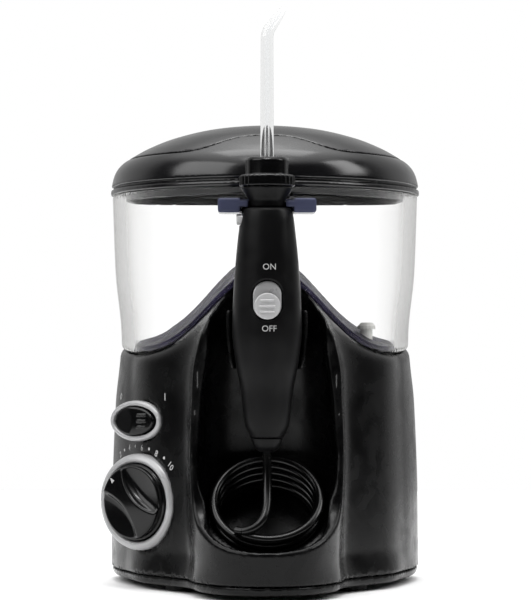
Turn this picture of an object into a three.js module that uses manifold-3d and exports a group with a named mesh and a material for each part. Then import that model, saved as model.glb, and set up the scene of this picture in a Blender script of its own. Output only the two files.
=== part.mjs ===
// Countertop water flosser: base with pump, clear reservoir, lid with a tip compartment, and a
// handle on a coiled hose. Millimetres, +Z up, front towards -Y. The origin is on the surface that
// the feet stand on, at the middle of the object's footprint.

import * as THREE from 'three';
import { mergeVertices } from 'three/addons/utils/BufferGeometryUtils.js';
import Module from 'manifold-3d';

const wasm = await Module();
wasm.setup();

// ---------------------------------------------------------------- driving dimensions

const GAP = 0.3; // clearance between pieces that touch
const WALL = 2.4; // moulded wall of the housing
const TANK_WALL = 2.2;

// plan outline: half an ellipse in front, a flattened half behind
const PLAN_Y = 54.5; // y of the widest line
const PLAN_FRONT = 87.5; // from the widest line to the front
const PLAN_BACK = 18; // from the widest line to the flat back
const PLAN_SEGMENTS = 30;
const HOLLOW_SEGMENTS = 18;
const PLAN_CENTRE = new THREE.Vector2(0, 20);

const SEAM_Z = 6.5; // joint between housing and bottom plate
const PLATE_Z = 2.5; // underside of the bottom plate
const LID_Z = 173.8; // lower edge of the lid
const TANK_TOP = LID_Z - GAP;

// bell-shaped top of the base, the same curve as the reservoir's floor
const BELL_LOW = 97;
const BELL_RISE = 39.5;
const BELL_WIDTH = 32.5;
const BELL_SLOPE = 0.085; // rise towards the back
const BELL_FRONT_Y = -33;

// handle and the recess behind it share one upright axis
const HANDLE_Y = -47;

// hose coil in its bay
const HOSE_RADIUS = 1.9;
const COIL_RADIUS = 22.3;
const COIL_TILT = THREE.MathUtils.degToRad(48.5);
const COIL_CENTRE = new THREE.Vector3(0, -36.2, 35.05);
const COIL_HALF_LENGTH = 11;
const BAY_RADIUS = 26;

// controls on the front left face
const FACING = THREE.MathUtils.degToRad(38);
const DIAL_CENTRE = new THREE.Vector3(-56.65, -7.2, 38);
const ROCKER_CENTRE = new THREE.Vector3(-56.7, -5.1, 73.2);

// pump train
const MODULE = 1;
const PINION_TEETH = 10;
const GEAR_TEETH = 30;
const TRAIN_Y = 40;
const MOTOR_Z = 30;
const GEAR_Z = MOTOR_Z + (MODULE * (PINION_TEETH + GEAR_TEETH)) / 2;
const CRANK = 4;

// lid hinge
const HINGE_Y = 69.9;
const HINGE_Z = 187.8;

// ---------------------------------------------------------------- materials

const plastic = (color, roughness) => new THREE.MeshStandardMaterial({ color, roughness, metalness: 0 });
const metal = (color, roughness) => new THREE.MeshStandardMaterial({ color, roughness, metalness: 0.9 });
const satinBlack = plastic(0x141415, 0.42);
const glossBlack = plastic(0x0c0c0d, 0.12);
const handleBlack = plastic(0x1c1c1d, 0.38);
const hoseBlack = plastic(0x101011, 0.45);
const greyPlastic = plastic(0x98989a, 0.35);
const lightGrey = plastic(0xc2c2c4, 0.35);
const whitePlastic = plastic(0xe6e6e2, 0.45);
const rubber = plastic(0x171717, 0.85);
const steel = metal(0xb8babd, 0.3);
const brass = metal(0xc5a253, 0.35);
const clearPlastic = new THREE.MeshStandardMaterial({
  color: 0xeef1f5,
  roughness: 0.05,
  metalness: 0,
  transparent: true,
  opacity: 0.25,
});

// ---------------------------------------------------------------- shape helpers

// a closed geometry as a solid that can be joined and cut, with its faces turned outwards
function solid(geometry) {
  const bare = geometry.clone();
  bare.deleteAttribute('normal');
  bare.deleteAttribute('uv');
  const merged = mergeVertices(bare, 1e-3);
  const points = merged.attributes.position;
  const corner = (i) => new THREE.Vector3().fromBufferAttribute(points, i);
  const faces = [];
  let volume = 0;
  for (let i = 0; i < merged.index.count; i += 3) {
    const [a, b, c] = [0, 1, 2].map((k) => merged.index.getX(i + k));
    if (a === b || b === c || c === a) continue;
    faces.push([a, b, c]);
    volume += corner(a).dot(corner(b).cross(corner(c)));
  }
  const triangles = faces.flatMap(([a, b, c]) => (volume > 0 ? [a, b, c] : [a, c, b]));
  return new wasm.Manifold(
    new wasm.Mesh({
      numProp: 3,
      vertProperties: new Float32Array(points.array),
      triVerts: new Uint32Array(triangles),
    }),
  );
}

// a solid back as a geometry
function surface(body) {
  const mesh = body.getMesh();
  const geometry = new THREE.BufferGeometry();
  geometry.setAttribute('position', new THREE.BufferAttribute(new Float32Array(mesh.vertProperties), 3));
  geometry.setIndex(new THREE.BufferAttribute(new Uint32Array(mesh.triVerts), 1));
  return geometry;
}

// [radius, z] pairs turned about +Z
function revolve(profile, segments = 24) {
  const points = profile.map(([r, z]) => new THREE.Vector2(r, z));
  return new THREE.LatheGeometry(points, segments).rotateX(Math.PI / 2);
}

// a solid disc or cone from z = low to z = high
function disc(lowRadius, highRadius, low, high, segments = 16) {
  return revolve([[0, low], [lowRadius, low], [highRadius, high], [0, high]], segments);
}

// a ring with a square section
function ring(inner, outer, low, high, segments = 20) {
  return revolve([[inner, low], [outer, low], [outer, high], [inner, high], [inner, low]], segments);
}

function block(width, depth, height, x, y, z) {
  return new THREE.BoxGeometry(width, depth, height).translate(x, y, z);
}

// an outline in X and Z, extruded along Y from front to back
function slice(outline, front, back) {
  const shape = new THREE.Shape(outline.map(([x, z]) => new THREE.Vector2(x, z)));
  const options = { depth: back - front, bevelEnabled: false, curveSegments: 8 };
  const geometry = new THREE.ExtrudeGeometry(shape, options);
  return geometry.rotateX(Math.PI / 2).translate(0, back, 0);
}

// a shape in X and Y, extruded along Z from low to high
function prism(shape, low, high, curveSegments = 6) {
  const options = { depth: high - low, bevelEnabled: false, curveSegments };
  return new THREE.ExtrudeGeometry(shape, options).translate(0, 0, low);
}

// a rectangle with round ends, longer along x
function obround(length, width) {
  const r = width / 2;
  const straight = length / 2 - r;
  const shape = new THREE.Shape();
  shape.moveTo(-straight, -r);
  shape.lineTo(straight, -r);
  shape.absarc(straight, 0, r, -Math.PI / 2, Math.PI / 2);
  shape.lineTo(-straight, r);
  shape.absarc(-straight, 0, r, Math.PI / 2, (3 * Math.PI) / 2);
  return shape;
}

function oval(length, width) {
  const shape = new THREE.Shape();
  shape.absellipse(0, 0, length / 2, width / 2, 0, 2 * Math.PI);
  return shape;
}

// a round rod along a smooth curve through the points
function rod(points, radius, steps, sides = 8) {
  const curve = new THREE.CatmullRomCurve3(points.map((p) => new THREE.Vector3(...p)), false, 'centripetal');
  const corners = [];
  for (let i = 0; i < sides; i += 1) {
    const angle = (2 * Math.PI * i) / sides;
    corners.push(new THREE.Vector2(radius * Math.cos(angle), radius * Math.sin(angle)));
  }
  const options = { steps, bevelEnabled: false, extrudePath: curve };
  return new THREE.ExtrudeGeometry(new THREE.Shape(corners), options);
}

// point of the plan outline; turn 0 is the front centre and two thirds of a turn lie on the front half
function planPoint(turn, halfWidth, front, back) {
  const lap = turn - Math.floor(turn);
  let angle = (lap * 3 * Math.PI) / 2;
  if (lap > 1 / 3) angle = Math.PI / 2 + (lap - 1 / 3) * 3 * Math.PI;
  if (lap > 2 / 3) angle = 2 * Math.PI - ((1 - lap) * 3 * Math.PI) / 2;
  const s = Math.sin(angle);
  const c = Math.cos(angle);
  if (c >= -1e-9) return new THREE.Vector2(halfWidth * s, PLAN_Y - front * c);
  const flat = (v) => Math.sign(v) * Math.sqrt(Math.abs(v));
  return new THREE.Vector2(halfWidth * flat(s), PLAN_Y - back * flat(c));
}

// a turned profile whose circles take the plan outline; each level is [share, z, half width, inset]
function planSolid(levels, segments = PLAN_SEGMENTS) {
  const geometry = revolve(levels.map(([share, z]) => [share, z]), segments);
  const points = geometry.attributes.position;
  const rows = levels.length;
  for (let i = 0; i < points.count; i += 1) {
    const [share, z, halfWidth, inset = 0] = levels[i % rows];
    const turn = Math.floor(i / rows) / segments;
    const edge = planPoint(turn, halfWidth - inset, PLAN_FRONT - inset, PLAN_BACK - inset);
    const p = PLAN_CENTRE.clone().lerp(edge, share);
    points.setXYZ(i, p.x, p.y, z);
  }
  return geometry;
}

const meshes = new THREE.Group();

// adds a named piece; the body is a solid or a closed geometry
function piece(name, body, material, parent = meshes) {
  const shape = body.isBufferGeometry ? surface(solid(body)) : surface(body);
  const mesh = new THREE.Mesh(shape, material);
  mesh.name = name;
  parent.add(mesh);
  return mesh;
}

const moved = (geometry, matrix) => geometry.clone().applyMatrix4(matrix);
const shifted = (geometry, x, y, z) => geometry.clone().translate(x, y, z);

// ---------------------------------------------------------------- shared surfaces

const bellHeight = (x) => BELL_LOW + BELL_RISE * Math.exp(-((Math.abs(x) / BELL_WIDTH) ** 2.2));

// everything under the bell curve, lifted by a height and leaning up towards the back
function underBell(lift) {
  const outline = [[-80, -20], [80, -20]];
  for (let x = 75; x >= -75; x -= 6) outline.push([x, bellHeight(x) + lift]);
  const shear = new THREE.Matrix4().makeShear(0, 0, 0, BELL_SLOPE, 0, 0);
  shear.setPosition(0, 0, -BELL_SLOPE * BELL_FRONT_Y);
  return solid(slice(outline, -90, 90).applyMatrix4(shear));
}

// ---------------------------------------------------------------- base housing

const bodyLevels = [[6.5, 69.8], [36, 69.5], [80, 67.9], [106, 65.6], [150, 65.6]];

function bodySolid(inset, low) {
  const levels = bodyLevels.map(([z, halfWidth]) => [1, Math.max(z, low), halfWidth, inset]);
  levels[0][1] = low;
  const segments = inset > 0 ? HOLLOW_SEGMENTS : PLAN_SEGMENTS;
  return solid(planSolid([[0, low, 1], ...levels, [0, 150, 1]], segments));
}

const NOSE_DEPTH = 0.88; // front-to-back over side-to-side
const noseProfile = [[28, 6.5], [29.8, 25], [31.5, 44], [32, 60], [30.2, 90], [27.2, 111], [24, 121],
  [16, 134]];

function noseSolid(inset, low) {
  const wall = noseProfile.map(([r, z]) => [r - inset, z]);
  wall[0][1] = low;
  const nose = revolve([[0, low], ...wall, [0, 134]], inset > 0 ? 20 : 28);
  return solid(nose.scale(1, NOSE_DEPTH, 1).translate(0, HANDLE_Y, 0));
}

// flank between the body and the bulge, from the body to the front; [x, y] on the right side
const flankPlan = [[51, -6], [44.5, -16], [38.3, -25.5], [33.5, -35], [29.5, -43.5], [25.5, -52], [20, -60]];

function flankSolid(inset, low, high) {
  const right = flankPlan.map(([x, y]) => new THREE.Vector2(x - 0.9 * inset, y + 0.45 * inset));
  const left = right.map(({ x, y }) => new THREE.Vector2(-x, y)).reverse();
  const rearRight = new THREE.Vector2(51 - inset, 8);
  const rearLeft = new THREE.Vector2(inset - 51, 8);
  const shape = new THREE.Shape([rearRight, ...right, ...left, rearLeft]);
  return solid(prism(shape, low, high));
}

const recessProfile = [[25.4, 40], [28.4, 47], [29.5, 60], [28.8, 75], [26.6, 100], [23, 117],
  [18.6, 127.5], [15.8, 132], [15.4, 150]];

function recessSolid(grow, low) {
  const wall = recessProfile.map(([r, z]) => [r + grow, z]);
  const profile = [[0, low], [wall[0][0], low], ...wall.slice(1), [0, 150]];
  return solid(shifted(revolve(profile, 28), 0, HANDLE_Y, 0));
}

// frame of the coil and its bay: z along the coil's axis, forwards and up out of the bay
const coilFrame = new THREE.Matrix4().makeRotationX(COIL_TILT).setPosition(COIL_CENTRE);

function baySolid(grow) {
  const back = -COIL_HALF_LENGTH - 0.6 - grow;
  return solid(moved(disc(BAY_RADIUS + grow, BAY_RADIUS + grow, back, 70, 28), coilFrame));
}

// dish behind the front lip, in front of the coil
function dishSolid(grow) {
  const well = disc(25.5 + grow, 25.5 + grow, 18.5 - grow, 70, 28).scale(1, 0.94, 1).translate(0, HANDLE_Y, 0);
  const ahead = moved(block(120, 120, 80, 0, 0, 46 - grow), coilFrame);
  return solid(well).intersect(solid(ahead));
}

// side view of the opening in front of the handle: low over the lip, steep along the cheeks
const openingSide = [[-95, 20.6], [-72, 20.6], [-69, 21.8], [-64.7, 23.9], [-59.4, 26.8], [-52, 32],
  [-47, 40], [-44, 54], [-42, 64], [-40.5, 75], [-38.5, 89], [-36.5, 100], [-35, 111], [-33.6, 121],
  [-33.2, 150], [-95, 150]];

function openingSolid() {
  const shape = new THREE.Shape(openingSide.map(([y, z]) => new THREE.Vector2(y, z)));
  const geometry = new THREE.ExtrudeGeometry(shape, { depth: 120, bevelEnabled: false });
  const lay = new THREE.Matrix4().makeBasis(
    new THREE.Vector3(0, 1, 0),
    new THREE.Vector3(0, 0, 1),
    new THREE.Vector3(1, 0, 0),
  );
  return solid(geometry.applyMatrix4(lay).translate(-60, 0, 0));
}

// frames on the front left face: z out of the face, y up
function faceFrame(centre) {
  const outward = new THREE.Vector3(-Math.sin(FACING), -Math.cos(FACING), 0);
  const along = new THREE.Vector3(Math.cos(FACING), -Math.sin(FACING), 0);
  return new THREE.Matrix4().makeBasis(along, new THREE.Vector3(0, 0, 1), outward).setPosition(centre);
}

const dialFrame = faceFrame(DIAL_CENTRE);
const rockerFrame = faceFrame(ROCKER_CENTRE);

const BEZEL_DEPTH = 15;
const SCREW_SPOTS = [
  ['front_left', -27, -6],
  ['front_right', 27, -6],
  ['rear_left', -54, 60],
  ['rear_right', 54, 60],
];
const SEAT = new THREE.Vector2(46, 35);
const SEAT_Z = bellHeight(SEAT.x) + BELL_SLOPE * (SEAT.y - BELL_FRONT_Y);
const BARB_X = 16;
const barbSpot = new THREE.Vector3(0, COIL_RADIUS, -9).applyMatrix4(coilFrame);
const alongX = (geometry, x, y, z) => geometry.clone().rotateY(Math.PI / 2).translate(x, y, z);
const alongY = (geometry, x, y, z) => geometry.clone().rotateX(-Math.PI / 2).translate(x, y, z);

function housing() {
  const outer = bodySolid(0, SEAM_Z)
    .add(noseSolid(0, SEAM_Z))
    .add(flankSolid(0, SEAM_Z, 134))
    .intersect(underBell(0))
    .subtract(openingSolid());
  const hollow = bodySolid(WALL, SEAM_Z - 5)
    .add(noseSolid(WALL, SEAM_Z - 5))
    .add(flankSolid(WALL, SEAM_Z - 5, 134))
    .intersect(underBell(-WALL))
    .subtract(recessSolid(WALL, 36))
    .subtract(dishSolid(WALL + 0.4))
    .subtract(baySolid(WALL - 0.4))
    .subtract(openingShell());
  let shell = outer.subtract(hollow);
  for (const [, x, y] of SCREW_SPOTS) {
    const column = solid(shifted(disc(3.6, 3.6, SEAM_Z + 1, 140, 10), x, y, 0));
    shell = shell.add(column.intersect(underBell(-1)));
    shell = shell.subtract(solid(shifted(disc(1.8, 1.8, 0, 26, 8), x, y, 0)));
  }
  shell = shell.subtract(recessSolid(0, 40)).subtract(baySolid(0)).subtract(dishSolid(0));
  shell = shell.subtract(solid(moved(disc(19.3, 19.3, -30, 40, 32), dialFrame)));
  shell = shell.subtract(solid(moved(disc(21.3, 21.3, -4.8, 40, 32), dialFrame)));
  shell = shell.subtract(solid(moved(prism(oval(26, 15.1), -30, 40), rockerFrame)));
  shell = shell.subtract(solid(moved(prism(oval(29.2, 18.4), -3.3, 40), rockerFrame)));
  shell = shell.subtract(solid(shifted(disc(7.3, 7.3, 80, 130, 20), SEAT.x, SEAT.y, 0)));
  shell = shell.subtract(solid(alongX(disc(3.3, 3.3, 0, 14, 16), BARB_X - 4, barbSpot.y, barbSpot.z)));
  shell = shell.subtract(solid(alongY(disc(5.3, 5.3, 60, 90, 20), 30, 0, 20)));
  // closed pockets inside the wall are filled
  const [whole] = shell.decompose().sort((a, b) => b.volume() - a.volume());
  return whole;
}

// keeps the wall behind the opening's slope at full thickness
function openingShell() {
  return openingSolid().translate([0, WALL, -WALL]);
}

piece('base_housing', housing(), satinBlack);

// ---------------------------------------------------------------- bottom plate, feet, screws

function basePlate() {
  const plan = (inset, low, high) => {
    const body = planSolid([[0, low, 1], [1, low, 69.7, inset], [1, high, 69.7, inset], [0, high, 1]]);
    const bulge = disc(28 - inset, 28 - inset, low, high, 28).scale(1, NOSE_DEPTH, 1).translate(0, HANDLE_Y, 0);
    return solid(body).add(solid(bulge)).add(flankSolid(inset, low, high));
  };
  let plate = plan(1.6, PLATE_Z, 4).add(plan(0.5, 3.9, SEAM_Z - GAP)).subtract(plan(3.2, 4.9, 9));
  for (const [, x, y] of SCREW_SPOTS) {
    plate = plate.subtract(solid(shifted(disc(1.8, 1.8, 0, 9, 8), x, y, 0)));
    plate = plate.subtract(solid(shifted(disc(3.4, 3.4, 0, 3.9, 12), x, y, 0)));
  }
  return plate;
}

piece('base_plate', basePlate(), satinBlack);

const FEET = [
  ['foot_front_left', -37, -8],
  ['foot_front_right', 37, -8],
  ['foot_rear_left', -38, 60],
  ['foot_rear_right', 38, 60],
];
for (const [name, x, y] of FEET) {
  piece(name, revolve([[0, 0], [6.2, 0], [6.8, 0.6], [6.8, PLATE_Z - GAP], [0, PLATE_Z - GAP]], 14), rubber)
    .position.set(x, y, 0);
}

for (const [spot, x, y] of SCREW_SPOTS) {
  const screw = solid(disc(3, 3, PLATE_Z + 0.1, 3.6, 10)).add(solid(disc(1.5, 1.5, 3.5, 18, 8)));
  piece(`screw_${spot}`, screw, steel).position.set(x, y, 0);
}

// ---------------------------------------------------------------- pressure dial and power rocker

const dialGroup = new THREE.Group();
dialGroup.applyMatrix4(dialFrame);
meshes.add(dialGroup);

const bezelProfile = [[17.1, -BEZEL_DEPTH], [19, -BEZEL_DEPTH], [19, -4.5], [21, -4.5], [21, -1.6], [20, 0.2],
  [18.6, 0.9], [17.4, 0.4], [17.1, -0.4], [17.1, -BEZEL_DEPTH]];
piece('dial_bezel', revolve(bezelProfile, 32), greyPlastic, dialGroup);

function dialKnob() {
  const rim = revolve([[0, -6], [16.7, -6], [16.7, 0], [15.6, 1.2], [0, 1.4]], 28);
  const grip = prism(obround(31, 8.4), 1.2, 6.2).rotateZ(-Math.PI / 4);
  const hub = disc(4, 4, -9, -5.9);
  return solid(rim).add(solid(grip)).add(solid(hub));
}

piece('pressure_dial', dialKnob(), glossBlack, dialGroup);
piece('regulator_stem', disc(2.2, 2.2, -22, -9.3, 16), steel, dialGroup);

function regulatorValve() {
  const body = solid(disc(8, 8, -34, -17));
  const stemHole = solid(disc(2.5, 2.5, -24, -10, 16));
  const topNub = solid(new THREE.CylinderGeometry(2.6, 2.6, 5, 10).translate(0, 9.4, -28));
  const sideNub = solid(new THREE.CylinderGeometry(2.6, 2.6, 5, 10).rotateZ(Math.PI / 2).translate(9.4, 0, -28));
  return body.subtract(stemHole).add(topNub).add(sideNub);
}

piece('regulator_valve', regulatorValve(), whitePlastic, dialGroup);

const rockerGroup = new THREE.Group();
rockerGroup.applyMatrix4(rockerFrame);
meshes.add(rockerGroup);

function rockerBezel() {
  const outer = solid(prism(oval(25.4, 14.5), -9, -1.5)).add(solid(prism(oval(28.5, 17.7), -3, 1)));
  return outer.subtract(solid(prism(oval(24.2, 13.1), -20, 20)));
}

piece('rocker_bezel', rockerBezel(), greyPlastic, rockerGroup);

// at rest the left end is pressed in, which is off
const ROCKER_PIVOT = -4;
const ROCKER_TILT = 7;

function rockerCap() {
  const bowed = new THREE.CylinderGeometry(26, 26, 30, 64).translate(0, 0, -23.6);
  const cap = solid(prism(oval(22.8, 12.3), -5, 6)).intersect(solid(bowed));
  const key = cap.add(solid(block(5, 5, 4, 0, 0, -6.8)));
  return key.translate([0, 0, -ROCKER_PIVOT]).rotate([0, -ROCKER_TILT, 0]).translate([0, 0, ROCKER_PIVOT]);
}

piece('power_rocker', rockerCap(), glossBlack, rockerGroup);

function switchModule() {
  const body = solid(block(17, 11, 14, 1.5, 0, -18.6));
  const socket = solid(block(12, 8, 6, 0, 0, -11.4));
  return body.subtract(socket).add(solid(block(10, 6, 3, 0, 0, -26.9)));
}

piece('switch_module', switchModule(), whitePlastic, rockerGroup);

// ---------------------------------------------------------------- motor, gears and pump

// one gear: teeth as flat-topped wedges round the root circle
function gearShape(teeth, phase) {
  const pitch = (MODULE * teeth) / 2;
  const root = pitch - 1.0 * MODULE;
  const tip = pitch + 0.7 * MODULE;
  const corners = [];
  for (let i = 0; i < teeth; i += 1) {
    const middle = (2 * Math.PI * (i + phase)) / teeth;
    const foot = (0.3 * 2 * Math.PI) / teeth;
    const top = (0.14 * 2 * Math.PI) / teeth;
    for (const [radius, angle] of [[root, -foot], [tip, -top], [tip, top], [root, foot]]) {
      corners.push(new THREE.Vector2(radius * Math.cos(middle + angle), radius * Math.sin(middle + angle)));
    }
  }
  return new THREE.Shape(corners);
}

const gearBlank = (teeth, phase, low, high) => prism(gearShape(teeth, phase), low, high);
const GEAR_X = -9;
const GEAR_WIDTH = 5;

function motor() {
  const can = solid(revolve([[0, -56], [13.6, -56], [15, -54.6], [15, -19], [13.6, -17.6], [0, -17.6]], 24));
  const nose = solid(disc(5, 5, -17.8, -15, 20));
  const bore = solid(disc(1.6, 1.6, -30, 0, 12));
  return can.add(nose).subtract(bore).rotate([0, 90, 0]).translate([0, TRAIN_Y, MOTOR_Z]);
}

piece('motor', motor(), steel);

// shaft and pinion turn together; local x of the gear plane points down after the quarter turn
function motorPinion() {
  const shaft = solid(disc(1.2, 1.2, -28, -1, 12));
  const pinion = solid(gearBlank(PINION_TEETH, 0, GEAR_X, GEAR_X + GEAR_WIDTH));
  return shaft.add(pinion).rotate([0, 90, 0]).translate([0, TRAIN_Y, MOTOR_Z]);
}

piece('motor_pinion', motorPinion(), steel);

function driveGear() {
  const wheel = solid(gearBlank(GEAR_TEETH, 0.5, GEAR_X, GEAR_X + GEAR_WIDTH));
  const hub = solid(disc(4, 4, GEAR_X - 2, GEAR_X + GEAR_WIDTH, 20));
  const bore = solid(disc(2.1, 2.1, GEAR_X - 5, GEAR_X + GEAR_WIDTH - 2, 16));
  const web = solid(ring(5.5, 12, GEAR_X - 1, GEAR_X + 1.6, 16));
  return wheel.add(hub).subtract(bore).subtract(web).rotate([0, 90, 0]).translate([0, TRAIN_Y, GEAR_Z]);
}

piece('drive_gear', driveGear(), whitePlastic);
const crankPin = alongX(disc(1.5, 1.5, GEAR_X + GEAR_WIDTH + GAP, 4.5, 16), 0, TRAIN_Y, GEAR_Z - CRANK);
piece('crank_pin', crankPin, steel);

function gearBracket() {
  const wall = solid(block(3, 40, 44, -15.5, TRAIN_Y, 52));
  const leg = solid(block(10, 40, 3, -19, TRAIN_Y, 73.9));
  const axle = solid(alongX(disc(1.8, 1.8, -15, GEAR_X + GEAR_WIDTH - 2.4, 16), 0, TRAIN_Y, GEAR_Z));
  const clear = solid(alongX(disc(15.6, 15.6, -30, 0, 28), 0, TRAIN_Y, MOTOR_Z));
  return wall.add(leg).add(axle).subtract(clear);
}

piece('gear_bracket', gearBracket(), steel);

const ROD_X = 1.2; // middle of the connecting rod
const ROD_LENGTH = 26;
const PIN_Z = GEAR_Z - CRANK;
const WRIST_Z = PIN_Z + ROD_LENGTH;

function connectingRod() {
  const bigEnd = solid(alongX(disc(4.2, 4.2, -2, 2, 20), ROD_X, TRAIN_Y, PIN_Z));
  const smallEnd = solid(alongX(disc(3, 3, -2, 2, 18), ROD_X, TRAIN_Y, WRIST_Z));
  const shank = solid(block(4, 4, ROD_LENGTH, ROD_X, TRAIN_Y, (PIN_Z + WRIST_Z) / 2));
  // the big end's hole leaves the crank pin its whole circle, since the pivot is left open
  const slot = solid(alongX(disc(2 * CRANK + 2.4, 2 * CRANK + 2.4, -6, 6, 24), ROD_X, TRAIN_Y, PIN_Z + CRANK));
  return shank.add(smallEnd).add(bigEnd).subtract(slot);
}

piece('connecting_rod', connectingRod(), whitePlastic);

function piston() {
  const body = solid(disc(6, 6, WRIST_Z + 3.3, WRIST_Z + 11, 16));
  return body.translate([ROD_X, TRAIN_Y, 0]);
}

piece('piston', piston(), whitePlastic);

const CYLINDER_LOW = WRIST_Z - 2;
const CYLINDER_HIGH = WRIST_Z + 20;
piece('pump_cylinder', ring(6.3, 9, CYLINDER_LOW, CYLINDER_HIGH, 24), whitePlastic)
  .position.set(ROD_X, TRAIN_Y, 0);

function pumpHead() {
  const cap = solid(disc(10, 10, CYLINDER_HIGH + GAP, CYLINDER_HIGH + 12, 24));
  const nubs = solid(alongX(disc(2.6, 2.6, -13, 13, 14), 0, 0, CYLINDER_HIGH + 6));
  const passage = solid(disc(3, 3, CYLINDER_HIGH, CYLINDER_HIGH + 7, 16));
  return cap.add(nubs).subtract(passage).translate([ROD_X, TRAIN_Y, 0]);
}

piece('pump_head', pumpHead(), whitePlastic);

// ---------------------------------------------------------------- water path inside the base

const HEAD_Z = CYLINDER_HIGH + 6;
const seatBarb = SEAT_Z - 15;
const seatProfile = [[3.6, -13.6], [4.6, -13.6], [4.6, -5], [7, -5], [7, -0.6], [3.6, -0.6], [3.6, -13.6]];
piece('reservoir_seat', revolve(seatProfile, 20), rubber)
  .position.set(SEAT.x, SEAT.y, SEAT_Z - 2.2);

const feedRoute = [
  [SEAT.x, SEAT.y, seatBarb - 1.2],
  [SEAT.x - 0.6, 35.4, seatBarb - 8],
  [39, 36.6, seatBarb - 13],
  [30, 38.6, seatBarb - 11],
  [24, 40, HEAD_Z - 8],
  [20, 40, HEAD_Z - 1.2],
  [ROD_X + 13.7, TRAIN_Y, HEAD_Z],
];
piece('feed_tube', rod(feedRoute, 2.4, 14, 6), clearPlastic);

const valveTop = new THREE.Vector3(0, 12.6, -28).applyMatrix4(dialFrame);
const outletRoute = [
  [ROD_X - 13.7, TRAIN_Y, HEAD_Z],
  [-20, 39, HEAD_Z - 1.5],
  [-31, 33, HEAD_Z - 10],
  [-37, 24, 76],
  [-38.4, 16, 62],
  [valveTop.x, valveTop.y, valveTop.z],
];
piece('outlet_tube', rod(outletRoute, 2.2, 14, 6), clearPlastic);

const valveSide = new THREE.Vector3(12.2, 0, -28).applyMatrix4(dialFrame);
const hoseFeedRoute = [
  [BARB_X + 13, barbSpot.y, barbSpot.z],
  [34, barbSpot.y + 2, 45],
  [36, -6, 42],
  [30, 2, 38],
  [15, 5, 36],
  [0, 5, 36],
  [-12, 1, 37],
  [-20, -0.4, 38],
  [valveSide.x, valveSide.y, valveSide.z],
];
piece('hose_feed_tube', rod(hoseFeedRoute, 2.2, 16, 6), clearPlastic);
const barbProfile = [[0, 0], [2.6, 0], [3, 1], [3, 12], [0, 12]];
piece('hose_barb', alongX(revolve(barbProfile, 14), BARB_X, barbSpot.y, barbSpot.z), brass);

function cordGland() {
  const barrel = solid(disc(5, 5, 64, 73.2, 20)).add(solid(disc(7, 7, 66, 68, 20)));
  return barrel.subtract(solid(disc(3.4, 3.4, 60, 80, 16))).rotate([-90, 0, 0]).translate([30, 0, 20]);
}

piece('cord_gland', cordGland(), rubber);

// ---------------------------------------------------------------- hose

function coilSolid() {
  const inner = COIL_RADIUS - HOSE_RADIUS - 0.3;
  const outer = COIL_RADIUS + HOSE_RADIUS + 0.3;
  return ring(inner, outer, -COIL_HALF_LENGTH, COIL_HALF_LENGTH, 36);
}

piece('hose_coil', coilSolid(), hoseBlack).applyMatrix4(coilFrame);

// straight down from the handle, then to the left along the front of the coil
const leadRoute = [
  [0, -47, 60.8],
  [0, -47.5, 56],
  [0, -48.8, 50],
  [0, -50.8, 44],
  [-0.2, -53.6, 38.6],
  [-1.8, -56.7, 33.8],
  [-5.4, -58.6, 30.5],
  [-9.4, -59.1, 29.3],
];
piece('hose_lead', rod(leadRoute, HOSE_RADIUS, 20), hoseBlack);

// ---------------------------------------------------------------- reservoir

const tankLevels = [[90, 64.9], [111, 65.3], [139, 68], [173.5, 69.3]];

function tankSolid(inset, low, high) {
  const levels = tankLevels.map(([z, halfWidth]) => [1, z, halfWidth, inset]);
  levels[0][1] = low;
  levels[levels.length - 1][1] = high;
  return solid(planSolid([[0, low, 1], ...levels, [0, high, 1]], inset > 0 ? HOLLOW_SEGMENTS : PLAN_SEGMENTS));
}

// two flaps beside the neck of the handle, with thin inner lips that close round it
const FORK_LOW = 161.7;
const FORK_HIGH = 167.8;
const FORK_HALF = 20.7;
const FORK_FRONT = -51.5;

function fork() {
  const plan = new THREE.Shape();
  plan.moveTo(-FORK_HALF, -31.5);
  plan.lineTo(-FORK_HALF, FORK_FRONT + 5);
  plan.absarc(-FORK_HALF + 5, FORK_FRONT + 5, 5, Math.PI, 1.5 * Math.PI);
  plan.lineTo(FORK_HALF - 5, FORK_FRONT);
  plan.absarc(FORK_HALF - 5, FORK_FRONT + 5, 5, 1.5 * Math.PI, 2 * Math.PI);
  plan.lineTo(FORK_HALF, -31.5);
  const plate = solid(prism(plan, FORK_LOW, FORK_HIGH, 6));
  const slot = (half, low, high) => solid(disc(half, half, low, high, 24))
    .add(solid(block(2 * half, 20, high - low, 0, -10, (low + high) / 2)))
    .translate([0, HANDLE_Y, 0]);
  return plate
    .subtract(slot(7.9, 150, 190))
    .subtract(slot(11.3, 150, 164.1))
    .subtract(slot(11.3, 166.7, 190));
}

const VALVE_Z = SEAT_Z + GAP;

function reservoir() {
  const outside = tankSolid(0, 90, TANK_TOP).subtract(underBell(GAP));
  const inside = tankSolid(TANK_WALL, 90, TANK_TOP + 5).subtract(underBell(GAP + TANK_WALL));
  const tank = outside.add(fork()).subtract(inside);
  return tank.subtract(solid(shifted(disc(3.5, 3.5, 90, 140, 20), SEAT.x, SEAT.y, 0)));
}

piece('reservoir', reservoir(), clearPlastic);

const valveProfile = [[0, -9], [1.8, -9], [2.3, -8], [2.3, 0], [3.1, 0], [3.1, 5.6], [4.6, 5.6], [4.6, 7],
  [3, 8.6], [0, 8.6]];
piece('outlet_valve', revolve(valveProfile, 16), whitePlastic).position.set(SEAT.x, SEAT.y, VALVE_Z);
piece('valve_seal', ring(2.6, 3.3, -6, -4, 16), rubber).position.set(SEAT.x, SEAT.y, VALVE_Z);

// ---------------------------------------------------------------- lid

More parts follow.
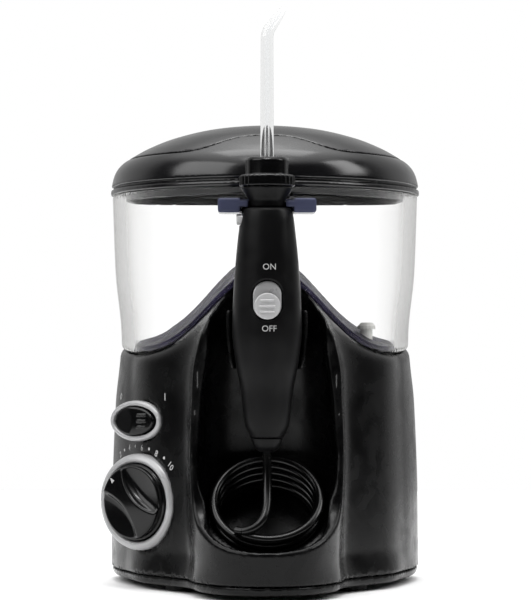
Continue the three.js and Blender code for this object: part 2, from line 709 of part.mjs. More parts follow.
const LID_HALF = 70.1;
const domeProfile = [[1, LID_Z], [1, 176.6], [0.979, 177.5], [0.954, 184], [0.93, 187], [0.88, 189.8],
  [0.77, 193.9], [0.6, 198.3], [0.36, 201.8], [0, 203.5]];

function domeSolid(share, drop, low) {
  const levels = domeProfile.map(([s, z]) => [Math.max(s - share, 0), z - drop, LID_HALF]);
  const inner = share > 0 ? HOLLOW_SEGMENTS : PLAN_SEGMENTS;
  return solid(planSolid([[0, low, 1], [1 - share, low, LID_HALF], ...levels.slice(1)], inner));
}

const archHeight = (x) => 189.4 + 7.4 * Math.exp(-((Math.abs(x) / 24) ** 3));

// everything above the arched line between lid body and cover
function aboveArch(lift) {
  const outline = [[80, 230], [-80, 230]];
  for (let x = -78; x <= 78; x += 6) outline.push([x, archHeight(x) + lift]);
  const rear = block(160, 70, 40, 0, 55, archHeight(80) + lift + 20);
  return solid(slice(outline, -90, 21)).add(solid(rear));
}

const DECK_LOW = 183.4;
const DECK_HIGH = 185.4;
const TRAY = { x: 0, y: 24, width: 74, depth: 46, low: 176.4 };
const HINGE_LUG = 2.5;

function lugBar(from, to, radius) {
  return solid(alongX(disc(radius, radius, from, to, 18), 0, HINGE_Y, HINGE_Z));
}

function lidBody() {
  const flatTop = solid(block(180, 180, 60, 0, 0, DECK_HIGH + 30));
  const flatLow = solid(block(180, 180, 60, 0, 0, DECK_LOW - 30));
  let body = domeSolid(0, 0, LID_Z).subtract(aboveArch(-0.15));
  body = body.subtract(domeSolid(0.028, 1.9, 160).intersect(flatTop));
  body = body.subtract(domeSolid(0.05, 3, 160).intersect(flatLow));
  const band = (inner, outer, low, high) => {
    const corners = [[inner, low], [outer, low], [outer, high], [inner, high], [inner, low]];
    return solid(planSolid(corners.map(([share, z]) => [share, z, 69.3])));
  };
  body = body.add(band(0.92, 0.942, 170.5, 176)).add(band(0.92, 0.985, 174.4, 176));
  body = body.subtract(solid(block(TRAY.width + 0.6, TRAY.depth + 0.6, 30, TRAY.x, TRAY.y, 186)));
  const lugRoot = (x) => solid(block(7, 5, 5, x, HINGE_Y - 2.6, HINGE_Z - 2.4));
  for (const side of [-1, 1]) {
    body = body.add(lugBar(side * 14.5 - 3.5, side * 14.5 + 3.5, HINGE_LUG)).add(lugRoot(side * 14.5));
  }
  const notch = lugBar(-10.7, 10.7, HINGE_LUG + 0.5)
    .add(solid(block(21.4, 8, 6, 0, HINGE_Y - 3, HINGE_Z + 2.4)));
  return body.subtract(notch).subtract(lugBar(-30, 30, 1.4));
}

piece('lid_body', lidBody(), glossBlack);

function lidCover() {
  const shell = domeSolid(0, 0, LID_Z).intersect(aboveArch(0.15)).subtract(domeSolid(0.028, 1.9, 160));
  const arm = solid(block(20, 5.2, 2.6, 0, HINGE_Y - 2.9, HINGE_Z + 2.5));
  const room = lugBar(-19, -10.3, HINGE_LUG + 0.5).add(lugBar(10.3, 19, HINGE_LUG + 0.5));
  return shell.add(arm).add(lugBar(-10, 10, HINGE_LUG)).subtract(room).subtract(lugBar(-30, 30, 1.4));
}

piece('lid_cover', lidCover(), glossBlack);
piece('hinge_pin', lugBar(-17.8, 17.8, 1.1), steel);

function tipTray() {
  const { x, y, width, depth, low } = TRAY;
  const flange = solid(block(width + 5, depth + 5, 1.2, x, y, DECK_HIGH + GAP + 0.6));
  const cup = solid(block(width, depth, DECK_HIGH + 1 - low, x, y, (low + DECK_HIGH + 1) / 2));
  const inside = solid(block(width - 3, depth - 3, 20, x, y, low + 11.4));
  let tray = flange.add(cup).subtract(inside);
  for (const side of [-1, 1]) tray = tray.add(solid(block(2, depth - 2, 3, side * 18, y, low + 2.4)));
  return tray;
}

piece('tip_tray', tipTray(), whitePlastic);

// spare tips lie across the tray's two ribs
const SPARE_ROWS = [10, 24, 38];
SPARE_ROWS.forEach((y, index) => {
  const profile = [[0, -28], [2.6, -28], [2.6, -21], [3.6, -20.6], [3.6, -18.4], [2.5, -18], [1.9, 24],
    [1.1, 29], [0, 29]];
  const stem = revolve(profile, 8);
  piece(`spare_tip_${index + 1}`, alongX(stem, 0, y, TRAY.low + 7.9), clearPlastic);
});

// ---------------------------------------------------------------- handle

const handleGroup = new THREE.Group();
handleGroup.position.set(0, HANDLE_Y, 0);
meshes.add(handleGroup);

const gripProfile = [[6.9, 67.3], [9.2, 72.5], [11.05, 87], [13.5, 100.5], [14.7, 112.5], [14.1, 129],
  [13.1, 142.5], [11.95, 153.6], [10.6, 162.4], [9.9, 163.7]];
const SHELL = 1.8;

function gripShell() {
  const outside = solid(revolve([[0, 67.3], ...gripProfile, [0, 163.7]], 24));
  const inner = gripProfile.map(([r, z]) => [r - SHELL, Math.min(Math.max(z, 69), 162)]);
  const inside = solid(revolve([[0, 69], ...inner, [0, 162]], 16));
  const ends = solid(disc(3.3, 3.3, 60, 75, 16)).add(solid(disc(6.1, 6.1, 155, 170, 24)));
  return outside.subtract(inside).subtract(ends);
}

const frontHalf = solid(block(60, 40, 200, 0, -20.15, 115));
const rearHalf = solid(block(60, 40, 200, 0, 20.15, 115));
const POCKET_Z = 124.8;
const POCKET_HEIGHT = 16.8;
const POCKET_Y = -11.2;
// stands an x-y shape up so that it faces the front
const stand = (geometry, y, z) => geometry.clone().rotateZ(Math.PI / 2).rotateX(Math.PI / 2).translate(0, y, z);

// the pause button's stem runs in this slot, which the button covers at rest
const SWITCH_Z = 122.3;
const stemSlot = () => solid(block(3.4, 20, 9.4, 0, -10, SWITCH_Z));

function frontShell() {
  const backing = solid(block(16, 2.4, 21, 0, POCKET_Y + 0.3, POCKET_Z));
  const pocket = solid(stand(prism(obround(POCKET_HEIGHT, 12.6), 0, 20), POCKET_Y, POCKET_Z));
  const shape = gripShell().intersect(frontHalf).add(backing);
  return shape.subtract(pocket).subtract(stemSlot()).subtract(ejectHole());
}

// eject button: a lozenge on the left shoulder
const EJECT = { y: 0, z: 158.9, x: -12.9, length: 7.6, height: 4.4 };
const ejectBlank = (grow, from, to) => {
  const shape = prism(obround(EJECT.length + grow, EJECT.height + grow), from, to);
  return solid(shape.rotateX(Math.PI / 2).rotateZ(Math.PI / 2).translate(0, EJECT.y, EJECT.z));
};

function ejectHole() {
  return ejectBlank(0.6, -20, -6);
}

piece('handle_front_shell', frontShell(), handleBlack, handleGroup);
piece('handle_rear_shell', gripShell().intersect(rearHalf).subtract(ejectHole()), handleBlack, handleGroup);

function handleHead() {
  const profile = [[0, 150], [5.8, 150], [5.8, 163.9], [7.55, 164], [7.55, 167], [11.1, 172.2], [0, 172.2]];
  return solid(revolve(profile, 20)).subtract(solid(disc(3.5, 3.5, 152, 180, 12))).subtract(ejectPocket());
}

// leaves the button its travel beside the head's stem
function ejectPocket() {
  return solid(block(4, 10, 7, -6.2, 0, EJECT.z));
}

piece('handle_head', handleHead(), handleBlack, handleGroup);

const plateShape = prism(obround(POCKET_HEIGHT - 0.7, 11.9), 0, 0.9);
const plate = solid(stand(plateShape, POCKET_Y - 0.35, POCKET_Z)).subtract(stemSlot());
piece('switch_plate', plate, greyPlastic, handleGroup);

function pauseButton() {
  const cap = solid(stand(disc(5.5, 5.2, 0, 2.9, 24), POCKET_Y - 1.6, SWITCH_Z));
  const stem = solid(block(2.6, 7, 3.6, 0, POCKET_Y + 1.6, SWITCH_Z - 2.6));
  return cap.add(stem);
}

piece('pause_button', pauseButton(), lightGrey, handleGroup);
piece('valve_slider', block(6, 1.6, 12, 0, -5.2, SWITCH_Z), whitePlastic, handleGroup);
piece('pause_valve', block(8, 7.6, 28, 0, 0, 125), whitePlastic, handleGroup);
piece('water_tube_lower', disc(2.4, 2.4, 69.4, 110.7, 12), clearPlastic, handleGroup);
piece('water_tube_upper', disc(2.4, 2.4, 139.3, 149.7, 12), clearPlastic, handleGroup);

const nutProfile = [[0, 61.1], [4.4, 61.1], [5.6, 62.4], [6.5, 67], [3, 67], [3, 69.1], [0, 69.1]];
piece('hose_nut', revolve(nutProfile, 20), handleBlack, handleGroup);
const springHole = solid(alongX(disc(1.8, 1.8, -12.2, -9, 12), 0, EJECT.y, EJECT.z));
piece('eject_button', ejectBlank(0, EJECT.x, -9.4).subtract(springHole), lightGrey, handleGroup);
piece('eject_spring', alongX(disc(1.4, 1.4, -10.6, -4.6, 10), 0, EJECT.y, EJECT.z), steel, handleGroup);

// ---------------------------------------------------------------- collar and tip

function tipCollar() {
  const teeth = 20;
  const corners = [];
  for (let i = 0; i < 2 * teeth; i += 1) {
    const radius = i % 2 ? 11.9 : 11.1;
    const angle = (Math.PI * i) / teeth;
    corners.push(new THREE.Vector2(radius * Math.cos(angle), radius * Math.sin(angle)));
  }
  const knurl = solid(prism(new THREE.Shape(corners), 172.5, 177.6));
  const cap = solid(revolve([[0, 177.5], [9.05, 177.5], [9.05, 183.6], [8, 184.8], [0, 184.8]], 20));
  const bore = solid(disc(3.4, 3.4, 160, 200));
  return knurl.add(cap).subtract(bore);
}

piece('tip_collar', tipCollar(), glossBlack, handleGroup);

function jetTip() {
  const bend = new THREE.Vector3(0, 0, 238.7);
  const lean = new THREE.Matrix4().makeRotationY(THREE.MathUtils.degToRad(35)).setPosition(bend);
  const tube = solid(revolve([[0, 166], [2.9, 166], [2.65, 238.7], [0, 238.7]], 14));
  const knee = solid(new THREE.SphereGeometry(2.62, 14, 8).translate(0, 0, 238.7));
  const nozzle = solid(moved(disc(2.6, 1.25, 0, 11.3, 14), lean));
  const bore = solid(disc(1.3, 1.3, 150, 238.7, 8)).add(solid(moved(disc(0.6, 0.6, -1, 20, 8), lean)));
  return tube.add(knee).add(nozzle).subtract(bore);
}

piece('jet_tip', jetTip(), clearPlastic, handleGroup);

export default meshes;
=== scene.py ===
"""Countertop water flosser, dressed over its CAD frame. Metres, +Z up, front towards -Y."""

import itertools
import math

import bpy
import numpy as np
from mathutils import Matrix, Vector


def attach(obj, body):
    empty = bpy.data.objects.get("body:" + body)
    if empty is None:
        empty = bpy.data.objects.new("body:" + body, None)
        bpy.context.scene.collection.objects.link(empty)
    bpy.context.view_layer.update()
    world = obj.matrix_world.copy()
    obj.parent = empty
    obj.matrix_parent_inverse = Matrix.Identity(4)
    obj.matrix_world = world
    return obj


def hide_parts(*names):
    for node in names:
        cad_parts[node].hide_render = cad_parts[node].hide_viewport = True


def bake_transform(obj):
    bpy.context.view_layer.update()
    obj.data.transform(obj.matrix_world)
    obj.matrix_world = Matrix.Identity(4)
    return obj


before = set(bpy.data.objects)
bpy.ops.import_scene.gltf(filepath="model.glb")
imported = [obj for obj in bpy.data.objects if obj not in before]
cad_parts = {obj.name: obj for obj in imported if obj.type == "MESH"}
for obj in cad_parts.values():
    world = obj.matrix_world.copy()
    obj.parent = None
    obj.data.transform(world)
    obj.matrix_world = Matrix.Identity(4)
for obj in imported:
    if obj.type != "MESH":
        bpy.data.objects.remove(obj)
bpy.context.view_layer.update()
scene = bpy.context.scene
MM = 0.001  # the dimensions below are in millimetres, as in the CAD

# ---------------------------------------------------------------- camera and hose route

CAMERA_SPOT = (-11, -1210.5, 106.2)
camera = bpy.data.objects.new("camera", bpy.data.cameras.new("camera"))
camera.location = Vector(CAMERA_SPOT) * MM
camera.rotation_euler = (math.radians(90), 0, math.radians(-0.51))
camera.data.lens = 166.3
camera.data.sensor_width = 36
camera.data.shift_y = 0.075
camera.data.clip_start = 0.05
scene.collection.objects.link(camera)
scene.camera = camera

HOSE_RADIUS = 1.9
COIL_RADIUS = 22.3
COIL_TILT = math.radians(48.5)
COIL_CENTRE = np.array([0, -36.2, 35.05])
COIL_AXIS = np.array([0, -math.sin(COIL_TILT), math.cos(COIL_TILT)])  # forwards and up
COIL_UP = np.array([0, math.cos(COIL_TILT), math.sin(COIL_TILT)])
BARB_X = 16


def on_coil(turn, along):
    """Point of the coil; turn is an angle from the right, anticlockwise as seen from the front."""
    ring = np.array([math.cos(turn), 0, 0]) + math.sin(turn) * COIL_UP
    return COIL_CENTRE + COIL_RADIUS * ring + along * COIL_AXIS


def smooth_path(points, spacing=1.5):
    """Even points along a Catmull-Rom curve through the given ones."""
    p = np.array(points, float)
    ends = np.vstack([2 * p[0] - p[1], p, 2 * p[-1] - p[-2]])
    dense = []
    for a, b, c, d in zip(ends, ends[1:], ends[2:], ends[3:]):
        for t in np.linspace(0, 1, 12, endpoint=False):
            square = (2 * a - 5 * b + 4 * c - d) * t**2
            cube = (3 * b - a - 3 * c + d) * t**3
            dense.append(0.5 * (2 * b + (c - a) * t + square + cube))
    dense = np.array([*dense, p[-1]])
    run = np.concatenate([[0], np.cumsum(np.linalg.norm(np.diff(dense, axis=0), axis=1))])
    even = np.linspace(0, run[-1], max(2, round(run[-1] / spacing)))
    return np.stack([np.interp(even, run, dense[:, k]) for k in range(3)], axis=1)


COIL_START = math.pi / 2
COIL_TURNS = 4.6
COIL_BACK = -9
COIL_FRONT = 11
coil_points = [
    on_coil(COIL_START - 2 * math.pi * COIL_TURNS * t, COIL_BACK + (COIL_FRONT - COIL_BACK) * t)
    for t in np.linspace(0, 1, 100)
]
barb_end = on_coil(COIL_START, COIL_BACK) + np.array([BARB_X, 0, 0])
LEAD = [
    (-9.6, -58.7, 28.6),
    (-5.4, -58.8, 30.1),
    (-1.9, -56.9, 33.6),
    (-0.3, -53.8, 38.4),
    (0, -50.9, 44),
    (0, -48.8, 50),
    (0, -47.5, 56),
    (0, -47, 61.4),
]

# ---------------------------------------------------------------- numbers into surfaces


def curve(pairs):
    """Smooth curve through (value, place) pairs, with no overshoot."""
    value = np.array([p[0] for p in pairs], float)
    place = np.array([p[1] for p in pairs], float)
    step = np.diff(place)
    rise = np.diff(value) / step
    slope = np.zeros(len(place))
    slope[0], slope[-1] = rise[0], rise[-1]
    for i in range(1, len(rise)):
        if rise[i - 1] * rise[i] > 0:
            low, high = 2 * step[i] + step[i - 1], step[i] + 2 * step[i - 1]
            slope[i] = (low + high) / (low / rise[i - 1] + high / rise[i])

    def at(t):
        t = np.clip(t, place[0], place[-1])
        i = np.clip(np.searchsorted(place, t) - 1, 0, len(step) - 1)
        u = (t - place[i]) / step[i]
        start = value[i] * (1 + 2 * u) * (1 - u) ** 2 + slope[i] * step[i] * u * (1 - u) ** 2
        end = value[i + 1] * u**2 * (3 - 2 * u) + slope[i + 1] * step[i] * u**2 * (u - 1)
        return start + end

    return at


def join(a, b, soft=0.01):
    """Both shapes, with a fillet of about soft where they meet. Fields are below zero inside."""
    h = np.clip(0.5 + 0.5 * (b - a) / soft, 0, 1)
    return b * (1 - h) + a * h - soft * h * (1 - h)


def meet(a, b, soft=0.01):
    """What both shapes share, with its new edge rounded by about soft."""
    return -join(-a, -b, soft)


def less(a, b, soft=0.01):
    """The first shape without the second."""
    return meet(a, -b, soft)


def rounded_box(x, y, z, half, soft):
    """Box of the given half sizes, with its edges rounded by soft."""
    q = [np.abs(v) - (h - soft) for v, h in zip((x, y, z), half)]
    outside = np.sqrt(sum(np.maximum(v, 0) ** 2 for v in q))
    return outside + np.minimum(np.maximum(np.maximum(q[0], q[1]), q[2]), 0) - soft


def skin(field, low, high, step):
    """Closed surface of a field as points and four-sided faces."""
    axes = [np.arange(a, b + step, step) for a, b in zip(low, high)]
    values = field(*np.meshgrid(*axes, indexing="ij"))
    n = np.array(values.shape) - 1
    places = list(itertools.product((0, 1), repeat=3))
    at = {c: values[c[0] : n[0] + c[0], c[1] : n[1] + c[1], c[2] : n[2] + c[2]] for c in places}
    lowest = np.minimum.reduce(list(at.values()))
    highest = np.maximum.reduce(list(at.values()))
    cells = np.argwhere((lowest < 0) & (highest >= 0))
    number = -np.ones(n, int)
    number[tuple(cells.T)] = np.arange(len(cells))
    total = np.zeros((len(cells), 3))
    count = np.zeros(len(cells))
    for a in places:
        for k in range(3):
            if a[k]:
                continue
            b = tuple(1 if i == k else a[i] for i in range(3))
            fa, fb = at[a][tuple(cells.T)], at[b][tuple(cells.T)]
            cross = (fa < 0) != (fb < 0)
            t = np.where(cross, fa / np.where(fa == fb, 1, fa - fb), 0)
            spot = np.array(a, float) + t[:, None] * np.eye(3)[k]
            total += spot * cross[:, None]
            count += cross
    points = (cells + total / count[:, None]) * step + np.array(low)
    faces = []
    for k in range(3):
        u, v = (k + 1) % 3, (k + 2) % 3
        first = values[tuple(slice(1 if i != k else 0, -1) for i in range(3))]
        second = values[tuple(slice(1, -1) if i != k else slice(1, None) for i in range(3))]
        for sign in (True, False):
            edge = np.argwhere(((first < 0) == sign) & ((second < 0) != sign))
            corner = edge + np.array([0 if i == k else 1 for i in range(3)])
            around = []
            for du, dv in ((-1, -1), (0, -1), (0, 0), (-1, 0)):
                cell = corner.copy()
                cell[:, u] += du
                cell[:, v] += dv
                around.append(number[tuple(cell.T)])
            quad = np.stack(around, axis=1)
            faces.append(quad if sign else quad[:, ::-1])
    for _ in range(3):
        x, y, z = points.T
        f = field(x, y, z)
        h = 0.02
        slope = np.stack(
            [
                (field(x + h, y, z) - field(x - h, y, z)) / (2 * h),
                (field(x, y + h, z) - field(x, y - h, z)) / (2 * h),
                (field(x, y, z + h) - field(x, y, z - h)) / (2 * h),
            ],
            axis=1,
        )
        push = -f[:, None] * slope / np.maximum((slope**2).sum(1), 0.2)[:, None]
        longest = np.linalg.norm(push, axis=1)
        push *= np.minimum(1, 0.4 * step / np.maximum(longest, 1e-9))[:, None]
        points = points + push
    return points, np.vstack(faces)


def revolve(profile, sides=96, swell=None):
    """Closed surface from a closed [radius, z] profile; swell changes the radius by angle and height."""
    rows = [p for i, p in enumerate(profile) if i == 0 or p != profile[i - 1]]
    angles = np.linspace(0, 2 * math.pi, sides, endpoint=False)
    points, index = [], []
    for r, z in rows:
        if r < 1e-6:
            index.append([len(points)] * sides)
            points.append((0, 0, z))
            continue
        radius = np.full(sides, float(r)) if swell is None else r + swell(angles, r, z)
        index.append(list(range(len(points), len(points) + sides)))
        points.extend(zip(radius * np.cos(angles), radius * np.sin(angles), np.full(sides, z)))
    faces = []
    closed = profile[0][0] > 1e-6
    for i in range(len(rows) - (0 if closed else 1)):
        low, high = index[i], index[(i + 1) % len(rows)]
        for k in range(sides):
            ring = [low[k], low[(k + 1) % sides], high[(k + 1) % sides], high[k]]
            ring = [v for j, v in enumerate(ring) if v not in ring[:j]]
            if len(ring) > 2:
                faces.append(ring)
    return np.array(points), faces


def rounded(profile, amount=0.35, steps=3):
    """The closed profile with its corners rounded."""
    bare = [np.array(p, float) for p in profile]
    closed = np.allclose(bare[0], bare[-1])
    if closed:
        bare = bare[:-1]
    out = []
    for i, p in enumerate(bare):
        before, after = bare[i - 1], bare[(i + 1) % len(bare)]
        if p[0] < 1e-6:
            out.append(tuple(p))
            continue
        reach_in = min(amount, np.linalg.norm(before - p) * 0.45)
        reach_out = min(amount, np.linalg.norm(after - p) * 0.45)
        start = p + (before - p) / max(np.linalg.norm(before - p), 1e-9) * reach_in
        end = p + (after - p) / max(np.linalg.norm(after - p), 1e-9) * reach_out
        for t in np.linspace(0, 1, steps + 1):
            out.append(tuple((1 - t) ** 2 * start + 2 * t * (1 - t) * p + t**2 * end))
    return out


def tube(path, radius, sides=20, bore=0.0):
    """Round tube along a path, with closed ends; radius is a number or one for each point."""
    p = np.array(path, float)
    radius = np.broadcast_to(np.asarray(radius, float), len(p))
    along = np.gradient(p, axis=0)
    along /= np.linalg.norm(along, axis=1)[:, None]
    side = np.cross(along[0], [0.0, 0.3, 1.0])
    angles = np.linspace(0, 2 * math.pi, sides, endpoint=False)
    rings = []
    for way in along:
        side = side - way * (side @ way)
        side /= np.linalg.norm(side)
        rings.append(np.cos(angles)[:, None] * side + np.sin(angles)[:, None] * np.cross(way, side))

    def wall(sizes):
        return np.vstack([spot + size * ring for spot, size, ring in zip(p, sizes, rings)])

    points = wall(radius)
    rows = len(p)
    faces = []
    for i in range(rows - 1):
        for k in range(sides):
            a, b = i * sides + k, i * sides + (k + 1) % sides
            faces.append([a, b, b + sides, a + sides])
    last = (rows - 1) * sides
    if bore:
        points = np.vstack([points, wall(np.full(rows, bore))])
        shift = rows * sides
        for i in range(rows - 1):
            for k in range(sides):
                a, b = shift + i * sides + k, shift + i * sides + (k + 1) % sides
                faces.append([a + sides, b + sides, b, a])
        for k in range(sides):
            n = (k + 1) % sides
            faces.append([n, k, shift + k, shift + n])
            faces.append([last + k, last + n, shift + last + n, shift + last + k])
    else:
        faces.append(list(range(sides))[::-1])
        faces.append(list(range(last, last + sides)))
    return points, faces


def place(points, matrix):
    """Points of a piece's own frame, put into the part's frame."""
    return points @ np.array(matrix)[:3, :3].T + np.array(matrix)[:3, 3]


def add(name, shape, material, body, stands_for=(), sharp=35):
    """A piece of the object from points in millimetres."""
    points, faces = shape
    mesh = bpy.data.meshes.new(name)
    mesh.from_pydata((np.asarray(points) * MM).tolist(), [], [list(map(int, f)) for f in faces])
    mesh.validate()
    mesh.polygons.foreach_set("use_smooth", [True] * len(mesh.polygons))
    mesh.update()
    if sharp:
        mesh.set_sharp_from_angle(angle=math.radians(sharp))
    obj = bpy.data.objects.new(name, mesh)
    scene.collection.objects.link(obj)
    mesh.materials.append(material)
    if body:
        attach(obj, body)
    if stands_for:
        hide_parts(*stands_for)
    return obj


# ---------------------------------------------------------------- materials


def material(
    name,
    colour,
    rough,
    tone=0.12,
    rough_spread=0.08,
    grain=0.0,
    grain_size=0.35,
    metal=0.0,
    clear=0.0,
    ior=1.5,
    specular=0.5,
    edge=0.0,
    scratch=0.0,
    haze=0.0,
):
    """Moulded or metal finish: cloudy colour, uneven gloss, moulding grain, optional fine scratches and an
    optional painted highlight that lightens sharp convex edges.
    """
    mat = bpy.data.materials.new(name)
    mat.use_nodes = True
    nodes, links = mat.node_tree.nodes, mat.node_tree.links
    nodes.clear()
    out = nodes.new("ShaderNodeOutputMaterial")
    shader = nodes.new("ShaderNodeBsdfPrincipled")
    links.new(shader.outputs["BSDF"], out.inputs["Surface"])
    shader.inputs["Metallic"].default_value = metal
    shader.inputs["IOR"].default_value = ior
    shader.inputs["Transmission Weight"].default_value = clear
    shader.inputs["Specular IOR Level"].default_value = specular
    where = nodes.new("ShaderNodeTexCoord")

    def noise(size_mm, detail=3.0, distort=0.0):
        n = nodes.new("ShaderNodeTexNoise")
        n.inputs["Scale"].default_value = 1 / (size_mm * MM)
        n.inputs["Detail"].default_value = detail
        n.inputs["Distortion"].default_value = distort
        links.new(where.outputs["Object"], n.inputs["Vector"])
        return n.outputs["Fac"]

    def span(source, low, high):
        m = nodes.new("ShaderNodeMapRange")
        m.inputs["From Min"].default_value = 0.3
        m.inputs["From Max"].default_value = 0.7
        m.inputs["To Min"].default_value = low
        m.inputs["To Max"].default_value = high
        links.new(source, m.inputs["Value"])
        return m.outputs["Result"]

    cloud = noise(24, 4)
    shade = nodes.new("ShaderNodeMix")
    shade.data_type = "RGBA"
    shade.inputs["A"].default_value = (*[c * (1 - tone) for c in colour], 1)
    shade.inputs["B"].default_value = (*[min(1, c * (1 + tone)) for c in colour], 1)
    links.new(span(cloud, 0, 1), shade.inputs["Factor"])
    tint = shade.outputs["Result"]
    # edge sets a painted highlight: the colour is lightened on sharp convex edges, where light would catch
    # them
    if edge:
        edge_sharpness = nodes.new("ShaderNodeNewGeometry")
        ramp = nodes.new("ShaderNodeMapRange")
        ramp.inputs["From Min"].default_value = 0.52
        ramp.inputs["From Max"].default_value = 0.62
        ramp.inputs["To Max"].default_value = edge
        links.new(edge_sharpness.outputs["Pointiness"], ramp.inputs["Value"])
        painted_edge_highlight = nodes.new("ShaderNodeMix")
        painted_edge_highlight.data_type = "RGBA"
        links.new(ramp.outputs["Result"], painted_edge_highlight.inputs["Factor"])
        links.new(tint, painted_edge_highlight.inputs["A"])
        painted_edge_highlight.inputs["B"].default_value = (*[min(1, c * 2 + 0.03) for c in colour], 1)
        tint = painted_edge_highlight.outputs["Result"]
    links.new(tint, shader.inputs["Base Color"])
    uneven = span(noise(9, 5, 0.4), max(0, rough - rough_spread), rough + rough_spread)
    links.new(uneven, shader.inputs["Roughness"])
    height = None
    if grain:
        bump = nodes.new("ShaderNodeBump")
        bump.inputs["Strength"].default_value = grain
        bump.inputs["Distance"].default_value = 0.02 * MM
        links.new(noise(grain_size, 2), bump.inputs["Height"])
        height = bump
    if scratch:
        brushed = nodes.new("ShaderNodeMapping")
        brushed.inputs["Scale"].default_value = (60, 900, 60)
        brushed.inputs["Rotation"].default_value = (0.3, 0.2, 0.6)
        links.new(where.outputs["Object"], brushed.inputs["Vector"])
        lines = nodes.new("ShaderNodeTexNoise")
        lines.inputs["Scale"].default_value = 3
        links.new(brushed.outputs["Vector"], lines.inputs["Vector"])
        bump = nodes.new("ShaderNodeBump")
        bump.inputs["Strength"].default_value = scratch
        bump.inputs["Distance"].default_value = 0.03 * MM
        links.new(lines.outputs["Fac"], bump.inputs["Height"])
        if height:
            links.new(height.outputs["Normal"], bump.inputs["Normal"])
        height = bump
    if height:
        links.new(height.outputs["Normal"], shader.inputs["Normal"])
    if haze:  # thick plastic seen edge on turns grey; haze is the loss per metre
        body = nodes.new("ShaderNodeVolumeAbsorption")
        body.inputs["Color"].default_value = (0.02, 0.02, 0.0, 1)
        body.inputs["Density"].default_value = haze
        links.new(body.outputs["Volume"], out.inputs["Volume"])
    return mat


# Colour, roughness and what else sets each finish apart; edge is a painted highlight that lightens sharp
# convex edges.
LOOKS = {
    "satin_black": ((0.0008, 0.0008, 0.0009), 0.26, {"grain": 0.2, "specular": 0.18, "edge": 0.1}),
    "gloss_black": (
        (0.002, 0.002, 0.0022),
        0.17,
        {"rough_spread": 0.03, "specular": 0.3, "grain": 0.04, "grain_size": 3},
    ),
    "lid_black": (
        (0.0035, 0.0035, 0.004),
        0.2,
        {"rough_spread": 0.03, "specular": 0.5, "grain": 0.05, "grain_size": 4},
    ),
    "handle_black": ((0.0035, 0.0035, 0.0037), 0.36, {"grain": 0.3, "specular": 0.12, "edge": 0.15}),
    "hose_black": ((0.0012, 0.0012, 0.0012), 0.22, {"specular": 0.3, "grain": 0.2, "grain_size": 0.8}),
    "grey_plastic": ((0.36, 0.36, 0.365), 0.34, {"tone": 0.04, "metal": 0.2, "grain": 0.3, "edge": 0.25}),
    "light_grey": ((0.42, 0.42, 0.425), 0.36, {"tone": 0.04, "grain": 0.3, "edge": 0.2}),
    "white_plastic": ((0.72, 0.72, 0.69), 0.42, {"tone": 0.05, "grain": 0.3}),
    "rubber": ((0.012, 0.012, 0.012), 0.75, {"grain": 0.9, "grain_size": 0.5}),
    "steel": ((0.5, 0.51, 0.52), 0.3, {"tone": 0.06, "metal": 1, "scratch": 0.5}),
    "brass": ((0.6, 0.42, 0.14), 0.32, {"tone": 0.08, "metal": 1, "scratch": 0.4}),
    "clear_plastic": (
        (0.997, 0.997, 0.999),
        0.02,
        {"tone": 0.003, "rough_spread": 0.01, "clear": 1, "ior": 1.13, "haze": 34},
    ),
    "clear_floor": (
        (0.016, 0.014, 0.03),
        0.3,
        {"tone": 0.5, "rough_spread": 0.1, "ior": 1.04, "specular": 0.2},
    ),
    "clear_thick": (
        (0.05, 0.055, 0.095),
        0.15,
        {"tone": 0.2, "rough_spread": 0.04, "ior": 1.2, "specular": 0.4},
    ),
    "clear_tip": (
        (0.93, 0.935, 0.94),
        0.04,
        {"tone": 0.01, "rough_spread": 0.02, "clear": 1, "ior": 1.42, "haze": 70},
    ),
    "clear_tube": ((0.85, 0.87, 0.88), 0.12, {"tone": 0.03, "clear": 0.85, "ior": 1.42}),
    "print": ((0.42, 0.42, 0.42), 0.6, {"tone": 0.15, "grain": 0.3}),
}
MATERIALS = {name: material(name, colour, rough, **rest) for name, (colour, rough, rest) in LOOKS.items()}

# ---------------------------------------------------------------- shared fields

PLAN_Y, PLAN_FRONT, PLAN_BACK = 54.5, 87.5, 18.0
HANDLE_Y = -47
WALL = 2.4
SEAM_Z = 6.5  # where housing and base plate meet
LIP_Z = 20.6  # top of the front lip, where the opening starts
RECESS_FLOOR_Z = 40
CRADLE_LOW, CRADLE_HIGH = 96, 121
BAY_RADIUS = 26
BAY_BACK = -11.6  # along the coil's axis
DISH_RADIUS = 25.5
DISH_FLOOR_Z = 18.5


def plan(x, y, half):
    """Distance from the plan outline: half an ellipse in front, a flattened half behind."""
    u, v = x / half, (y - PLAN_Y) / PLAN_FRONT
    s = np.sqrt(u**2 + v**2) + 1e-9
    front = (s - 1) / np.maximum(np.sqrt((u / half) ** 2 + (v / PLAN_FRONT) ** 2) / s, 1e-3)
    w = (y - PLAN_Y) / PLAN_BACK
    q = (u**4 + w**4) ** 0.25 + 1e-9
    steep = np.sqrt((np.abs(u) ** 3 / half) ** 2 + (np.abs(w) ** 3 / PLAN_BACK) ** 2) / q**3
    return np.where(y < PLAN_Y, front, (q - 1) / np.maximum(steep, 5e-3))


SHOULDER_Z = 97
BELL_HEIGHT = 39.5
BELL_WIDTH = 32.5
BELL_POWER = 2.2
BELL_RISE = 0.085  # towards the back


def under_bell(x, y, z, lift=0.0):
    """Below the bell-shaped hump on which the reservoir sits."""
    a = np.abs(x) / BELL_WIDTH
    peak = BELL_HEIGHT * np.exp(-(a**BELL_POWER))
    slope = peak * BELL_POWER * a ** (BELL_POWER - 1) / BELL_WIDTH
    return (z - SHOULDER_Z - peak - BELL_RISE * (y + 33) - lift) / np.sqrt(1 + slope**2 + BELL_RISE**2)


